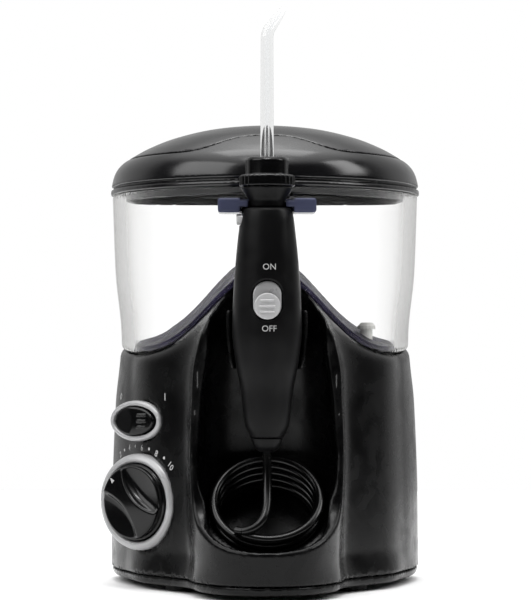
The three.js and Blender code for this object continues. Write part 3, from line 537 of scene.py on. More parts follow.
FLANK_ACROSS, FLANK_BACK = 0.87, 0.4936  # direction in which a flank faces
body_half = curve([(69.9, 2.5), (69.5, 36), (67.9, 80), (65.6, 106), (65.6, 150)])
flank_reach = curve(
    [(48.7, 6.5), (46.6, 18), (46, 80), (47, 95), (46, 108)]
    + [(43, 117), (37, 123), (29, 131), (21, 139), (16, 150)]
)
tip_radius_at = curve(
    [(27, 6.5), (28.6, 25), (30.4, 44), (31.2, 60), (30, 80)]
    + [(27.5, 95), (22, 108), (14, 120), (8, 134)]
)
recess_radius = curve(
    [(25.4, 40), (28.4, 47), (29.6, 60), (28.8, 75), (25.8, 100), (22.8, 110)]
    + [(19.4, 117), (17.4, 122.6), (16.4, 126.4), (15.7, 132), (15.4, 150)]
)
opening_line = curve(
    [(-72, 20.6), (-69, 21.8), (-64.7, 23.9), (-59.4, 26.8), (-52, 32), (-47, 40), (-44, 54)]
    + [(-42, 64), (-41.5, 75), (-41.5, 100), (-42.5, 111), (-44, 121), (-46, 150)]
)
grip_radius = curve(
    [(6.9, 67.3), (9.2, 72.5), (11.05, 87), (13.5, 100.5), (14.7, 112.5)]
    + [(14.1, 129), (13.1, 142.5), (11.95, 153.6), (10.6, 162.4), (9.9, 163.7)]
)


def coil_place(x, y, z):
    """(distance from the coil's axis, place along it)."""
    dy, dz = y - COIL_CENTRE[1], z - COIL_CENTRE[2]
    up = dy * COIL_UP[1] + dz * COIL_UP[2]
    return np.hypot(x, up), dy * COIL_AXIS[1] + dz * COIL_AXIS[2]


def body_plan(x, y, z, half):
    """The plan outline with a round nose in front and slightly hollow flanks between them."""
    hollow = 3 * np.exp(-(((y + 26) / 17) ** 2))
    ends = 0.02 * np.maximum(y + 8, 0) ** 2 + 0.03 * np.maximum(-45 - y, 0) ** 2
    across = FLANK_ACROSS * np.sqrt(x**2 + 4) - FLANK_BACK * y
    flank = across - flank_reach(z) + hollow + ends
    tip = np.hypot(x, (y - HANDLE_Y) / 0.92) - tip_radius_at(z)
    return join(join(plan(x, y, half), flank, 10), tip, 12)


def housing_outside(x, y, z):
    """Housing before anything is cut from it."""
    return meet(body_plan(x, y, z, body_half(z)), under_bell(x, y, z), 4)


def opening(x, y, z):
    """What is cut from the front of the nose, down to the lip."""
    line = opening_line(z)
    slope = (opening_line(z + 0.2) - opening_line(z - 0.2)) / 0.4
    return meet((y - line) / np.sqrt(1 + slope**2), LIP_Z - z, 1.0)


def recess(x, y, z):
    """Round hollow behind the handle."""
    return meet(np.hypot(x, y - HANDLE_Y) - recess_radius(z), RECESS_FLOOR_Z - z, 3)


def cradle(x, y, z):
    """Seat that hugs the handle from behind."""
    ring = np.abs(np.hypot(x, y - HANDLE_Y) - grip_radius(z) - 1.6) - 0.85
    behind = HANDLE_Y + 0.6 + 0.02 * (z - CRADLE_LOW) - y
    return meet(meet(ring, slab(z, CRADLE_LOW, CRADLE_HIGH), 0.8), behind, 0.7)


def bay(x, y, z):
    """Tilted round bay for the coiled hose."""
    away, along = coil_place(x, y, z)
    return meet(away - BAY_RADIUS, BAY_BACK - along, 3)


def dish(x, y, z):
    """Hollow behind the front lip, in front of the coil."""
    well = (np.hypot(x, (y - HANDLE_Y) / 0.955) - DISH_RADIUS) * 0.97
    _, along = coil_place(x, y, z)
    return meet(meet(well, DISH_FLOOR_Z - z, 5), 6 - along, 3)


FACING = math.radians(38)
OUTWARD = np.array([-math.sin(FACING), -math.cos(FACING), 0])
ALONG = np.array([math.cos(FACING), -math.sin(FACING), 0])
DIAL_CENTRE = np.array([-56.65, -7.2, 38])
ROCKER_CENTRE = np.array([-56.7, -5.1, 73.2])


def face_matrix(centre):
    """From the frame of a control on the front left face to the part's frame."""
    m = Matrix.Identity(4)
    for row in range(3):
        m[row][0], m[row][1], m[row][2], m[row][3] = ALONG[row], (0, 0, 1)[row], OUTWARD[row], centre[row]
    return m


def on_face(centre, x, y, z):
    """Coordinates in the frame of a control on the front left face: across, up and outwards."""
    dx, dy, dz = x - centre[0], y - centre[1], z - centre[2]
    return dx * ALONG[0] + dy * ALONG[1], dz, dx * OUTWARD[0] + dy * OUTWARD[1]


def obround(u, v, length, width):
    """Slot with half-round ends."""
    straight = (length - width) / 2
    return np.hypot(np.maximum(np.abs(u) - straight, 0), v) - width / 2


def oval(u, v, length, width):
    """Ellipse of the given length and width."""
    a, b = length / 2, width / 2
    s = np.sqrt((u / a) ** 2 + (v / b) ** 2) + 1e-9
    return (s - 1) * s / np.maximum(np.sqrt((u / a**2) ** 2 + (v / b**2) ** 2), 1e-2)


def slab(w, low, high):
    """Between two levels."""
    return np.maximum(low - w, w - high)


SCREWS = [(-27, -6), (27, -6), (-54, 60), (54, 60)]
SCREW_BORE = 1.8
POST_RADIUS = 3.6
SEAT = (46, 35)
SEAT_BORE = 7.3
BARB_BORE = 3.3
GLAND = (30, 20)
GLAND_BORE = 5.3
STEP = 1.15


def base_housing(x, y, z):
    """Hollow housing with its posts and the holes for dial, rocker, seat, barb and gland."""
    solid = housing_outside(x, y, z)
    solid = less(solid, opening(x, y, z), 1.4)
    solid = less(solid, recess(x, y, z), 2.2)
    solid = less(solid, bay(x, y, z), 1.6)
    solid = less(solid, dish(x, y, z), 0.9)
    shell = meet(np.maximum(solid, SEAM_Z - z), -(solid + WALL), 0.5)
    shell = np.minimum(shell, np.maximum(cradle(x, y, z), under_bell(x, y, z, -3)))
    for cx, cy in SCREWS:
        away = np.hypot(x - cx, y - cy)
        post = np.maximum(away - POST_RADIUS, SEAM_Z + 1 - z)
        shell = np.minimum(shell, np.maximum(post, solid + 1))
        shell = np.maximum(shell, -np.maximum(away - SCREW_BORE, z - 26))
    u, v, w = on_face(DIAL_CENTRE, x, y, z)
    away = np.hypot(u, v)
    shell = less(shell, meet(away - 19.3, -30 - w), 0.3)
    shell = less(shell, meet(away - 21.3, -4.8 - w), 0.5)
    u, v, w = on_face(ROCKER_CENTRE, x, y, z)
    shell = less(shell, meet(oval(u, v, 26, 15.1), -30 - w), 0.3)
    shell = less(shell, meet(oval(u, v, 29.2, 18.4), -3.3 - w), 0.5)
    shell = less(shell, np.maximum(np.hypot(x - SEAT[0], y - SEAT[1]) - SEAT_BORE, 80 - z), 0.4)
    barb = np.maximum(np.hypot(y - barb_end[1], z - barb_end[2]) - BARB_BORE, slab(x, 10, 26))
    shell = less(shell, barb, 0.3)
    return less(shell, np.maximum(np.hypot(x - GLAND[0], z - GLAND[1]) - GLAND_BORE, 60 - y), 0.4)


def moulded(name, shape, finish, body, node):
    """A smooth piece that stands for one CAD node, with the material of its finish."""
    return add(name, shape, MATERIALS[finish], body, [node], sharp=0)


def fine(step):
    return step


housing = skin(base_housing, (-73, -76, 4), (73, 76, 142), STEP)
moulded("base_housing_shell", housing, "satin_black", "base", "base_housing")


def base_plate(x, y, z):
    """Shallow tray under the housing."""
    outline = body_plan(x, y, SEAM_Z + 0 * z, 69.7 + 0 * z)
    plate = meet(outline + 0.5, 2.5 - z, 3.0)
    plate = np.maximum(plate, z - 6.2)
    plate = less(plate, np.maximum(outline + 3.2, 4.9 - z), 0.4)
    for cx, cy in SCREWS:
        away = np.hypot(x - cx, y - cy)
        plate = less(plate, away - SCREW_BORE, 0.2)
        plate = less(plate, np.maximum(away - 3.4, z - 3.9), 0.3)
    return plate


tray = skin(base_plate, (-73, -76, 1.4), (73, 76, 8), STEP)
moulded("base_plate_tray", tray, "satin_black", "base", "base_plate")

# ---------------------------------------------------------------- pressure dial

dial_matrix = face_matrix(DIAL_CENTRE)
bezel = [(17.1, -15), (19, -15), (19, -4.5), (21, -4.5), (21, -1.8), (20.4, -0.4)]
bezel += [(19.4, 0.5), (18.4, 0.9), (17.6, 0.6), (17.1, -0.2), (17.1, -15)]
points, faces = revolve(rounded(bezel, 0.4), 128)
shape = place(points, dial_matrix), faces
add("dial_bezel_ring", shape, MATERIALS["grey_plastic"], "base", ["dial_bezel"])


def dial_knob(u, v, w):
    """Round knob with a diagonal ridge that widens towards the rim, in the dial's own frame."""
    away = np.hypot(u, v)
    along, across = (u - v) * math.sqrt(0.5), (u + v) * math.sqrt(0.5)
    top = 5.9 - 0.006 * away**2
    knob = meet(away - 15.9 + 0.06 * np.maximum(w, 0), w - top, 1.2)
    knob = join(knob, meet(away - 16.7, slab(w, -6, 0.9), 0.8), 0.6)
    half = 3.1 + 0.021 * along**2
    floor = 1.3 + 0.008 * away**2
    scoop = meet((half + 0.35 * (5.9 - w) - np.abs(across)) * 0.9, floor - w, 3.0)
    knob = less(knob, scoop, 0.9)
    hub = np.maximum(away - 4, slab(w, -9, -5.5))
    return np.minimum(np.maximum(knob, -6 - w), hub)


points, faces = skin(dial_knob, (-17.5, -17.5, -9.6), (17.5, 17.5, 7), fine(0.42))
moulded("dial_knob", (place(points, dial_matrix), faces), "gloss_black", "dial", "pressure_dial")


def pointer(u, v, w):
    """Small raised triangle on the ridge's end, pointing outwards."""
    along, across = (v - u) * math.sqrt(0.5), (u + v) * math.sqrt(0.5)
    tip = 14.6 - along
    return meet(np.maximum((np.abs(across) - 0.42 * tip) * 0.9, 12.0 - along), slab(w, 4.3, 5.0), 0.1)


points, faces = skin(pointer, (-13, 6, 3.9), (-6, 13, 5.5), 0.12)
add("dial_pointer", (place(points, dial_matrix), faces), MATERIALS["print"], "dial", sharp=0)

# ---------------------------------------------------------------- power rocker

rocker_matrix = face_matrix(ROCKER_CENTRE)


def rocker_bezel(u, v, w):
    """Oval ring with a rounded lip, in the rocker's own frame."""
    outer = meet(oval(u, v, 25.4, 14.5), slab(w, -9, -1.5), 0.3)
    lip = meet(oval(u, v, 28.5, 17.7), slab(w, -3, 1), 1.6)
    return less(np.minimum(outer, lip), oval(u, v, 24.2, 13.1), 0.7)


points, faces = skin(rocker_bezel, (-16, -10, -9.6), (16, 10, 1.6), fine(0.4))
moulded("rocker_bezel_ring", (place(points, rocker_matrix), faces), "grey_plastic", "base", "rocker_bezel")

ROCKER_TILT = math.radians(7)


def rocker_cap(u, v, w):
    """Two faces that meet in a crest, with three ribs on the right one."""
    lift = w + 4
    a = u * math.cos(ROCKER_TILT) + lift * math.sin(ROCKER_TILT)
    c = lift * math.cos(ROCKER_TILT) - u * math.sin(ROCKER_TILT)
    wall = oval(a, v, 22.8, 12.3)
    past = a - 0.6 + 0.07 * v**2
    top = c - 6.4 - np.where(past < 0, 0.1 * past, -0.19 * past)
    cap = meet(wall, top, 0.8)
    for place_v in (-2.6, 0, 2.6):
        rib = rounded_box(a - 5.4, v - place_v, top - 0.1, (2.3, 0.45, 0.35), 0.3)
        cap = join(cap, rib, 0.2)
    cap = np.maximum(cap, -1 - c)
    key = np.maximum(np.maximum(np.abs(a) - 2.5, np.abs(v) - 2.5), slab(c, -4.8, 0))
    return np.minimum(cap, key)


points, faces = skin(rocker_cap, (-13, -7.5, -9.8), (13, 7.5, 4.5), fine(0.36))
moulded("rocker_cap", (place(points, rocker_matrix), faces), "gloss_black", "rocker", "power_rocker")

# ---------------------------------------------------------------- printed marks


def mark(name, text, centre, right, up, size, body, surface):
    """Text printed on a curved surface: each point drops onto the surface along the mark's own normal."""
    data = bpy.data.curves.new(name, "FONT")
    data.body = text
    data.size = size
    data.align_x = "CENTER"
    data.align_y = "CENTER"
    data.extrude = 0.05
    data.resolution_u = 4
    holder = bpy.data.objects.new(name + "_flat", data)
    scene.collection.objects.link(holder)
    flat = bpy.data.meshes.new_from_object(holder.evaluated_get(bpy.context.evaluated_depsgraph_get()))
    bpy.data.objects.remove(holder)
    right, up = np.array(right, float), np.array(up, float)
    out = np.cross(right, up)
    local = np.array([v.co for v in flat.vertices])
    points = np.array(centre) + local[:, :1] * right + local[:, 1:2] * up + 6 * out
    drop = np.zeros(len(points))
    for _ in range(40):
        drop += 0.8 * surface(*(points - drop[:, None] * out).T)
    points = points + (np.where(local[:, 2] > 0, 0.14, -0.12) - drop)[:, None] * out
    shape = points, [list(p.vertices) for p in flat.polygons]
    bpy.data.meshes.remove(flat)
    return add(name, shape, MATERIALS["print"], body, sharp=20)


def on_front(x, z):
    """Depth of the body's front at one place of the front view."""
    near, far = -80.0, 50.0
    for _ in range(40):
        middle = (near + far) / 2
        if housing_outside(x, middle, z) > 0:
            near = middle
        else:
            far = middle
    return near


MARKS = [
    ("dial_mark_2", "2", -64.4, 57.4, 32, 4.0),
    ("dial_dot_3", "•", -62.4, 59.5, 20, 5.2),
    ("dial_mark_4", "4", -59.9, 60.9, 12, 4.0),
    ("dial_dot_5", "•", -57.1, 61.7, 4, 5.2),
    ("dial_mark_6", "6", -54.0, 61.4, -8, 4.0),
    ("dial_dot_7", "•", -50.8, 60.9, -16, 5.2),
    ("dial_mark_8", "8", -47.5, 59.2, -26, 4.0),
    ("dial_dot_9", "•", -44.1, 57.4, -36, 5.2),
    ("dial_mark_10", "10", -41.2, 54.2, -47, 4.0),
    ("power_mark_on", "I", -43.6, 83.7, 0, 4.6),
    ("power_mark_off", "O", -64.3, 83.1, 0, 3.8),
]
for name, text, x, z, turn, size in MARKS:
    flat = np.array([2, on_front(x + 1, z) - on_front(x - 1, z), 0])
    flat /= np.linalg.norm(flat)
    turn = math.radians(turn)
    right = math.cos(turn) * flat + math.sin(turn) * np.array([0, 0, 1])
    up = math.cos(turn) * np.array([0, 0, 1]) - math.sin(turn) * flat
    mark(name, text, (x, on_front(x, z), z), right, up, size, "base", housing_outside)

# ---------------------------------------------------------------- reservoir

tank_half = curve([(64.9, 90), (65.3, 111), (68, 139), (69.3, 173.5)])
TANK_WALL = 2.2
TANK_TOP = 173.5


def fork(x, y, z):
    """Two flaps beside the handle's neck, with thin lips that close round it."""
    plate = rounded_box(x, y + 41.5, z - 164.75, (20.7, 10, 3.05), 1.2)

    def channel(half):
        ahead = np.maximum(np.abs(x) - half, y - HANDLE_Y)
        return np.minimum(np.hypot(x, y - HANDLE_Y) - half, ahead)

    lip = np.maximum(channel(11.3), -slab(z, 164.1, 166.7))
    return less(less(plate, channel(7.9), 0.4), lip, 0.4)


def tank_outside(x, y, z):
    """Reservoir before it is hollowed, closed below by the hump."""
    return meet(plan(x, y, tank_half(z)), -under_bell(x, y, z, 0.3), 2.0)


def tank_wall(x):
    """Wall thickness: the sides are thicker."""
    side = np.clip((np.abs(x) - 40) / 24, 0, 1)
    return TANK_WALL + 2.2 * side**2 * (3 - 2 * side)


def tank_floor(x, y, z):
    """Sheet that follows the hump, with the outlet's hole."""
    inside = plan(x, y, tank_half(z)) + tank_wall(x) + 0.1
    sheet = meet(inside, np.abs(under_bell(x, y, z, 0.3 + TANK_WALL / 2)) - TANK_WALL / 2, 0.2)
    return less(sheet, np.hypot(x - SEAT[0], y - SEAT[1]) - 3.5, 0.3)


def tank_walls(x, y, z):
    """The reservoir's clear walls."""
    outside = tank_outside(x, y, z)
    return less(np.maximum(outside, z - TANK_TOP), plan(x, y, tank_half(z)) + tank_wall(x), 0.5)


def tank_fork(x, y, z):
    """The part of the fork that stands out of the wall."""
    return np.maximum(fork(x, y, z), -plan(x, y, tank_half(z)) + 0.05)


RESERVOIR = [
    ("reservoir_walls", skin(tank_walls, (-71, -54, 92), (71, 75, 175), 1.0), "clear_plastic"),
    ("reservoir_floor", skin(tank_floor, (-71, -54, 92), (71, 75, 152), STEP), "clear_floor"),
    ("reservoir_fork", skin(tank_fork, (-22, -53, 161), (22, -30, 168.6), 0.6), "clear_thick"),
]
for name, shape, finish in RESERVOIR:
    moulded(name, shape, finish, "tank", "reservoir")

# ---------------------------------------------------------------- lid

LID_HALF = 70.1
LID_Y = 20  # centre of the lid's curves
PARTING_Z = 189.4  # where lid and cover part
PARTING_RISE = 7.4
PARTING_HALF = 24
LID_WALL = 2.1
COVER_WALL = 1.9
STORE_LOW, STORE_FLOOR = 183.4, 185.4  # underside and top of the tip store's floor
LUG_RADIUS = 2.5
LUG_ROOM = 3.0
PIN_RADIUS = 1.4


def outline_reach():
    """Distance from the plan's centre to the lid's outline, by direction."""
    turn = np.linspace(-math.pi / 2, math.pi / 2, 400)
    front = np.stack([LID_HALF * np.sin(turn), PLAN_Y - PLAN_FRONT * np.cos(turn)], axis=1)

    def flat(v):
        return np.sign(v) * np.sqrt(np.abs(v))

    turn = np.linspace(math.pi / 2, 3 * math.pi / 2, 400)[1:-1]
    back = np.stack([LID_HALF * flat(np.sin(turn)), PLAN_Y - PLAN_BACK * flat(np.cos(turn))], axis=1)
    ring = np.vstack([front, back]) - np.array([0, LID_Y])
    angle = np.arctan2(ring[:, 0], -ring[:, 1])
    order = np.argsort(angle)
    return angle[order], np.hypot(ring[:, 0], ring[:, 1])[order]


REACH = outline_reach()
lid_top = curve(
    [(203.5, 0), (202.9, 0.18), (201.8, 0.36), (198.3, 0.6), (193.9, 0.77), (189.8, 0.88), (184.8, 1.0)]
)
lid_side = curve(
    [(0.999, 173.8), (0.997, 176.5), (0.989, 180), (0.970, 184.3), (0.953, 187.5), (0.925, 192)]
)


def dome(x, y, z):
    """(field of the solid lid, share of the way to the outline, that outline's distance)."""
    reach = np.interp(np.arctan2(x, LID_Y - y), *REACH, period=2 * math.pi)
    share = np.hypot(x, y - LID_Y) / reach
    slope = 26 * share / reach
    top = (z - lid_top(share)) / np.sqrt(1 + slope**2)
    side = (share - lid_side(z)) * reach * 0.97
    return meet(top, side, 3.2), share, reach


def arch(x, y, share):
    """Height of the parting of lid and cover: it rises over the handle and drops steeply behind that."""
    rise = PARTING_RISE * np.exp(-((np.abs(x) / PARTING_HALF) ** 3))
    front = PARTING_Z + rise + 0.8 * rise * (PARTING_Z + rise - lid_top(share))
    return np.where(y < LID_Y + 1, np.maximum(front, PARTING_Z), PARTING_Z)


HINGE_Y, HINGE_Z = 69.9, 187.8


def lug(x, y, z, low, high, radius):
    """Round bar on the hinge's axis, from low to high."""
    return np.maximum(np.hypot(y - HINGE_Y, z - HINGE_Z) - radius, slab(x, low, high))


def lid_body(x, y, z):
    """Lid with its bead and skirt, the floor of the tip store, the tray's hole and two hinge lugs."""
    solid, share, reach = dome(x, y, z)
    bead = meet((share - 1) * reach, slab(z, 173.8, 176.3), 0.9)
    face = meet(solid, 177.6 - z, 0.7)
    neck = np.maximum(solid + 1.3, 173.8 - z)
    body = np.minimum(join(neck, bead, 0.5), face)
    body = meet(body, (z - arch(x, y, share) + 0.12) * 0.6, 0.25)
    above = np.maximum(solid + LID_WALL, STORE_FLOOR - z)
    under = np.maximum(solid + 3.2, z - STORE_LOW)
    body = less(less(body, above, 0.4), under, 0.4)
    skirt = np.maximum(np.abs(share - 0.9) * reach - 0.7, slab(z, 170.5, 176))
    step = np.maximum(np.abs(share - 0.94) * reach - 3.3, slab(z, 174.4, 176))
    body = np.minimum(body, np.minimum(skirt, step))
    body = np.maximum(body, -np.maximum(np.maximum(np.abs(x) - 37.3, np.abs(y - 24) - 23.3), 170 - z))
    for side in (-1, 1):
        ends = sorted((side * 11, side * 18))
        body = np.minimum(body, lug(x, y, z, *ends, LUG_RADIUS))
        root = np.maximum(slab(x, *ends), np.abs(y - 67.3) - LUG_RADIUS)
        root = np.maximum(root, np.abs(z - STORE_FLOOR) - LUG_RADIUS)
        body = np.minimum(body, root)
    notch = np.minimum(
        lug(x, y, z, -10.7, 10.7, LUG_ROOM),
        np.maximum(np.maximum(np.abs(x) - 10.7, np.abs(y - 66.9) - 4), np.abs(z - 190.2) - 3),
    )
    body = np.maximum(body, -notch)
    return np.maximum(body, -lug(x, y, z, -30, 30, PIN_RADIUS))


def lid_cover(x, y, z):
    """Thin cover over the tip store, with an arm and a lug on the hinge."""
    solid, share, _ = dome(x, y, z)
    shell = meet(meet(solid, (arch(x, y, share) + 0.12 - z) * 0.6, 0.25), -(solid + COVER_WALL), 0.3)
    arm = rounded_box(x, y - 67, z - 190.3, (10, 2.6, 1.3), 0.4)
    shell = np.minimum(join(shell, arm, 0.3), lug(x, y, z, -10, 10, LUG_RADIUS))
    room = np.minimum(lug(x, y, z, -19, -10.3, LUG_ROOM), lug(x, y, z, 10.3, 19, LUG_ROOM))
    return np.maximum(np.maximum(shell, -room), -lug(x, y, z, -30, 30, PIN_RADIUS))


shape = skin(lid_body, (-72, -35, 169.5), (72, 75, 199), 0.85)
moulded("lid_body_shell", shape, "lid_black", "lid", "lid_body")
shape = skin(lid_cover, (-72, -35, 184), (72, 75, 205), 0.8)
moulded("lid_cover_shell", shape, "lid_black", "cover", "lid_cover")

# ---------------------------------------------------------------- handle

POCKET_Z = 124.8
SWITCH_Z = 122.3
EJECT_Z = 158.9
GRIP_LOW, GRIP_HIGH = 67.3, 163.7
GRIP_WALL = 1.8


def grip(x, y, z):
    """Hollow grip with the bores of its two ends and the eject button's hole."""
    away = np.hypot(x, y - HANDLE_Y)
    solid = meet(meet(away - grip_radius(z), GRIP_LOW - z, 0.15), z - GRIP_HIGH, 1.0)
    shell = np.maximum(solid, -np.maximum(solid + GRIP_WALL, slab(z, 69, 162)))
    shell = np.maximum(shell, -np.maximum(away - 3.3, z - 75))
    shell = np.maximum(shell, -np.maximum(away - 6.1, 155 - z))
    hole = np.maximum(obround(z - EJECT_Z, y - HANDLE_Y, 5.0, 5.0), x + 6)
    hole = np.minimum(hole, np.maximum(obround(y - HANDLE_Y, z - EJECT_Z, 8.2, 5.0), x + 6))
    return less(shell, hole, 0.3)


def front_shell(x, y, z):
    """Front half of the grip, with the switch's pocket and the slot for its stem."""
    backing = np.maximum(np.abs(x) - 7.4, np.abs(y - HANDLE_Y + 10.7) - 1.2)
    backing = np.maximum(backing, np.abs(z - POCKET_Z) - 10)
    shell = np.minimum(meet(grip(x, y, z), y - HANDLE_Y + 0.15, 0.35), backing)
    pocket = np.maximum(obround(z - POCKET_Z, x, 16.8, 12.6), y - HANDLE_Y + 11.2)
    shell = less(shell, pocket, 0.9)
    stem = np.maximum(np.abs(x) - 1.7, np.abs(y - HANDLE_Y + 10) - 10)
    return np.maximum(shell, -np.maximum(stem, np.abs(z - SWITCH_Z) - 4.7))


def rear_shell(x, y, z):
    """Rear half of the grip."""
    return meet(grip(x, y, z), HANDLE_Y + 0.15 - y, 0.35)


HANDLE_STEP = 0.62
shape = skin(front_shell, (-16, -63, 66), (16, -46, 165), HANDLE_STEP)
moulded("handle_front", shape, "handle_black", "handle", "handle_front_shell")
shape = skin(rear_shell, (-16, -48, 66), (16, -31, 165), HANDLE_STEP)
moulded("handle_rear", shape, "handle_black", "handle", "handle_rear_shell")

handle_matrix = Matrix.Translation((0, HANDLE_Y, 0))


def turned(name, profile, finish, body, stands_for, soft, sides=96, swell=None):
    """A piece turned about the handle's axis."""
    points, faces = revolve(rounded(profile, soft), sides, swell)
    add(name, (place(points, handle_matrix), faces), MATERIALS[finish], body, stands_for)


def head(x, y, z):
    """Neck that the fork holds, with the flare below the collar."""
    away = np.hypot(x, y - HANDLE_Y)
    stem = np.maximum(away - 5.8, slab(z, 150, 165))
    neck = np.maximum(away - 7.55, slab(z, 164, 168))
    flare = meet((away - (7.55 + (z - 167) * 0.683)) * 0.83, slab(z, 166.5, 172.2), 0.4)
    whole = join(np.minimum(stem, neck), flare, 0.6)
    whole = np.maximum(whole, -np.maximum(away - 3.5, 152 - z))
    pocket = np.maximum(np.abs(x + 6.2) - 2, np.abs(y - HANDLE_Y) - 5)
    return np.maximum(whole, -np.maximum(pocket, np.abs(z - EJECT_Z) - 3.5))


shape = skin(head, (-12.5, -60, 149), (12.5, -34, 173.2), fine(0.5))
moulded("handle_neck", shape, "handle_black", "handle", "handle_head")

KNURLS = 28


def knurled(angle, radius, height):
    """Rounded teeth on the widest part only."""
    share = np.clip((radius - 10.2) / 0.9, 0, 1)
    return share * (0.35 * np.abs(np.cos(KNURLS * angle / 2)) - 0.1)


collar = [(3.4, 172.5), (10.6, 172.5), (11.5, 173.1), (11.5, 176.9), (10.7, 177.6)]
collar += [(9.05, 177.7), (9.05, 183.6), (8.2, 184.8), (3.4, 184.8), (3.4, 172.5)]
turned("collar_ring", collar, "gloss_black", "collar", ["tip_collar"], 0.3, 224, knurled)
nut = [(2.2, 61.1), (3.3, 61.5), (4.5, 62.3), (5.5, 63.5), (6.25, 65), (6.65, 66.3)]
nut += [(6.8, 67.1), (3, 67.1), (3, 69.1), (2.2, 69.1), (2.2, 61.1)]
turned("hose_nut_cap", nut, "handle_black", "handle", ["hose_nut"], 0.5)


def switch_plate(x, y, z):
    """Plate under the pause button, with a slot."""
    plate = meet(obround(z - POCKET_Z, x, 16.1, 11.9), slab(y - HANDLE_Y, -12.45, -11.55), 0.3)
    return np.maximum(plate, -np.maximum(np.abs(x) - 1.7, np.abs(z - SWITCH_Z) - 4.7))


shape = skin(switch_plate, (-7, -60.5, 115), (7, -57.5, 134.5), 0.5)
moulded("switch_plate_panel", shape, "grey_plastic", "handle", "switch_plate")


def pause_button(x, y, z):
    """Round cap with three ribs across it."""
    out = HANDLE_Y - 12.8 - y
    away = np.hypot(x, z - SWITCH_Z)
    cap = meet(away - 5.5, slab(out, 0, 2.5 + 0.004 * away**2), 0.7)
    for row in (-2.4, 0, 2.4):
        rib = rounded_box(x, z - SWITCH_Z - row, out - 2.5, (3.2 - 0.12 * abs(row), 0.3, 0.6), 0.25)
        cap = join(cap, rib, 0.3)
    stem = np.maximum(np.abs(x) - 1.3, np.abs(z - SWITCH_Z + 2.6) - 1.8)
    return np.minimum(cap, np.maximum(stem, np.abs(y - HANDLE_Y + 9.6) - 3.5))


shape = skin(pause_button, (-6.2, -63.2, 116), (6.2, -53, 128.6), fine(0.25))
moulded("pause_button_cap", shape, "light_grey", "pause", "pause_button")


def eject_button(x, y, z):
    """Small cap with a hole for the spring behind it."""
    cap = meet(obround(y - HANDLE_Y, z - EJECT_Z, 7.6, 4.4), slab(x, -12.9, -9.4), 0.7)
    return np.maximum(cap, -np.maximum(np.hypot(y - HANDLE_Y, z - EJECT_Z) - 1.8, -12.2 - x))


shape = skin(eject_button, (-13.5, -52, 156), (-8.8, -42, 162), 0.35)
moulded("eject_button_cap", shape, "light_grey", "eject", "eject_button")


def grip_outside(x, y, z):
    """The grip's surface, for the marks on it."""
    return np.hypot(x, y - HANDLE_Y) - grip_radius(z)


for name, text, spot in (
    ("switch_mark_on", "ON", (0.9, HANDLE_Y - 12, 138.6)),
    ("switch_mark_off", "OFF", (0.8, HANDLE_Y - 12, 112.9)),
):
    mark(name, text, spot, (1, 0, 0), (0, 0, 1), 3.6, "handle", grip_outside)

# ---------------------------------------------------------------- jet tip

LEAN = math.radians(35)
rise = [(0, HANDLE_Y, z) for z in np.linspace(166, 234, 35)]
knee = [
    (4.2 * (1 - math.cos(a)), HANDLE_Y, 234.4 + 7.0 * math.sin(a))
    for a in np.linspace(0.08, LEAN, 8)
]
knee_end = np.array(knee[-1])
way = np.array([math.sin(LEAN), 0, math.cos(LEAN)])
nozzle = [tuple(knee_end + way * t) for t in np.linspace(1.0, 10.9, 14)]
tip_path = np.array(rise + knee + nozzle)
run = np.concatenate([[0], np.cumsum(np.linalg.norm(np.diff(tip_path, axis=0), axis=1))])
straight = run[len(rise) - 1]
beyond = np.clip((run - straight) / (run[-1] - straight), 0, 1)
tip_radius = 2.9 - 0.25 * np.minimum(run / straight, 1) - 1.4 * beyond**1.6
shape = tube(tip_path, tip_radius, 40, 0.75)
add("jet_tip_tube", shape, MATERIALS["clear_tip"], "tip", ["jet_tip"])

# ---------------------------------------------------------------- hose

whole = smooth_path([barb_end, barb_end + np.array([-8, 0, 0]), *coil_points, *LEAD], 1.4)
split = int(np.argmin(np.linalg.norm(whole - np.array(LEAD[0]), axis=1)))


def hose(name, path, stands_for):
    """A length of hose, attached to no body, with its transform baked into its points."""
    shape = tube(path, HOSE_RADIUS, 24)
    piece = add(name, shape, MATERIALS["hose_black"], None, stands_for)
    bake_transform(piece)


path = whole[: split + 1]
hose("hose_coiled", path, ["hose_coil"])
path = whole[split:]
hose("hose_to_handle", path, ["hose_lead"])

# ---------------------------------------------------------------- finishes of the CAD pieces that show

CORNERS = ("front_left", "front_right", "rear_left", "rear_right")
PUMP = ["drive_gear", "connecting_rod", "piston", "pump_cylinder", "pump_head"]
DRIVE = ["regulator_stem", "motor", "motor_pinion", "crank_pin", "gear_bracket"]
VALVES = ["outlet_valve", "tip_tray", "valve_slider", "pause_valve"]
FINISHES = {
    "white_plastic": ["regulator_valve", "switch_module", *PUMP, *VALVES],
    "steel": [*("screw_" + corner for corner in CORNERS), *DRIVE, "hinge_pin", "eject_spring"],
    "brass": ["hose_barb"],
    "rubber": [*("foot_" + corner for corner in CORNERS), "reservoir_seat", "valve_seal", "cord_gland"],
    "clear_tube": ["feed_tube", "outlet_tube", "hose_feed_tube", "water_tube_lower", "water_tube_upper"],
    "clear_tip": ["spare_tip_1", "spare_tip_2", "spare_tip_3"],
}
for finish, names in FINISHES.items():
    for name in names:
        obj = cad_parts[name]
        obj.data.materials.clear()
        obj.data.materials.append(MATERIALS[finish])

# ---------------------------------------------------------------- floor, light

floor_mesh = bpy.data.meshes.new("floor")
corners = [(-0.45, -0.45, 0), (0.45, -0.45, 0), (0.45, 0.8, 0), (-0.45, 0.8, 0)]
floor_mesh.from_pydata(corners, [], [(0, 1, 2, 3)])
floor = bpy.data.objects.new("floor", floor_mesh)
floor_mesh.materials.append(material("floor", (0.92, 0.92, 0.92), 0.7, tone=0.01))
scene.collection.objects.link(floor)

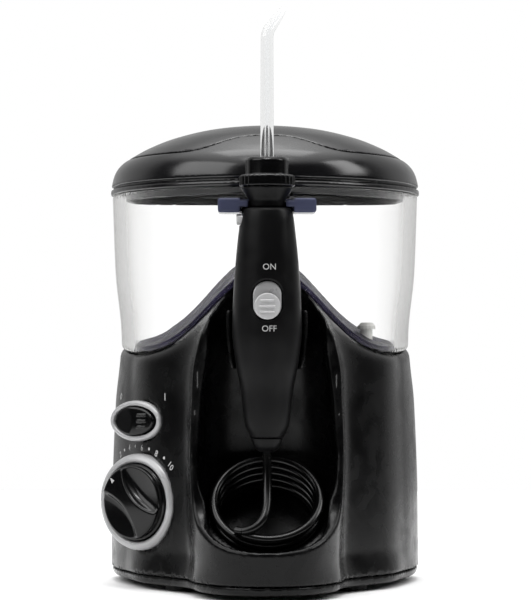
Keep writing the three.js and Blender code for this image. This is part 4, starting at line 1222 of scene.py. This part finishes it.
world = bpy.data.worlds.new("studio")
scene.world = world
world.use_nodes = True
nodes, links = world.node_tree.nodes, world.node_tree.links
nodes.clear()


def sky_fade(source, start, end, low, high):
    """Strength that goes from low to high as the source goes from start to end."""
    fade = nodes.new("ShaderNodeMapRange")
    fade.interpolation_type = "SMOOTHSTEP"
    fade.inputs["From Min"].default_value = start
    fade.inputs["From Max"].default_value = end
    fade.inputs["To Min"].default_value = low
    fade.inputs["To Max"].default_value = high
    links.new(source, fade.inputs["Value"])
    return fade.outputs["Result"]


def sky_sum(kind, first, second):
    node = nodes.new("ShaderNodeMath")
    node.operation = kind
    links.new(first, node.inputs[0])
    links.new(second, node.inputs[1])
    return node.outputs["Value"]


where = nodes.new("ShaderNodeTexCoord")
axes = nodes.new("ShaderNodeSeparateXYZ")
rays = nodes.new("ShaderNodeLightPath")
sky = nodes.new("ShaderNodeBackground")
out = nodes.new("ShaderNodeOutputWorld")
links.new(where.outputs["Generated"], axes.inputs["Vector"])
wall = sky_fade(axes.outputs["Y"], 0.15, 0.55, 0.02, 0.55)
ceiling = sky_fade(axes.outputs["Z"], 0.6, 0.97, 0, 2.3)
through = sky_fade(rays.outputs["Is Transmission Ray"], 0, 1, 0, 1.3)
plain = sky_sum("MAXIMUM", rays.outputs["Is Camera Ray"], through)
links.new(sky_sum("MAXIMUM", plain, sky_sum("ADD", wall, ceiling)), sky.inputs["Strength"])
sky.inputs["Color"].default_value = (1, 1, 1, 1)
links.new(sky.outputs["Background"], out.inputs["Surface"])


def panel(name, spot, aim, width, height, power):
    """Soft lamp at a place in metres, turned to its aim."""
    light = bpy.data.objects.new(name, bpy.data.lights.new(name, "AREA"))
    light.data.shape = "RECTANGLE"
    light.data.size, light.data.size_y = width, height
    light.data.energy = power
    light.location = spot
    light.rotation_euler = (Vector(aim) - Vector(spot)).to_track_quat("-Z", "Y").to_euler()
    scene.collection.objects.link(light)


panel("left_panel", (-1.05, -0.56, 0.93), (0, 0, 0.17), 1.2, 0.8, 11)
panel("right_panel", (1.2, -0.16, 0.95), (0, 0, 0.17), 0.55, 0.8, 7.5)
panel("top_panel", (0, 0.1, 1.2), (0, 0, 0.12), 0.8, 0.5, 4)
panel("key_panel", (0, -0.5, 1.2), (0, 0, 0.1), 0.45, 0.2, 4.5)
scene.view_settings.view_transform = "Standard"
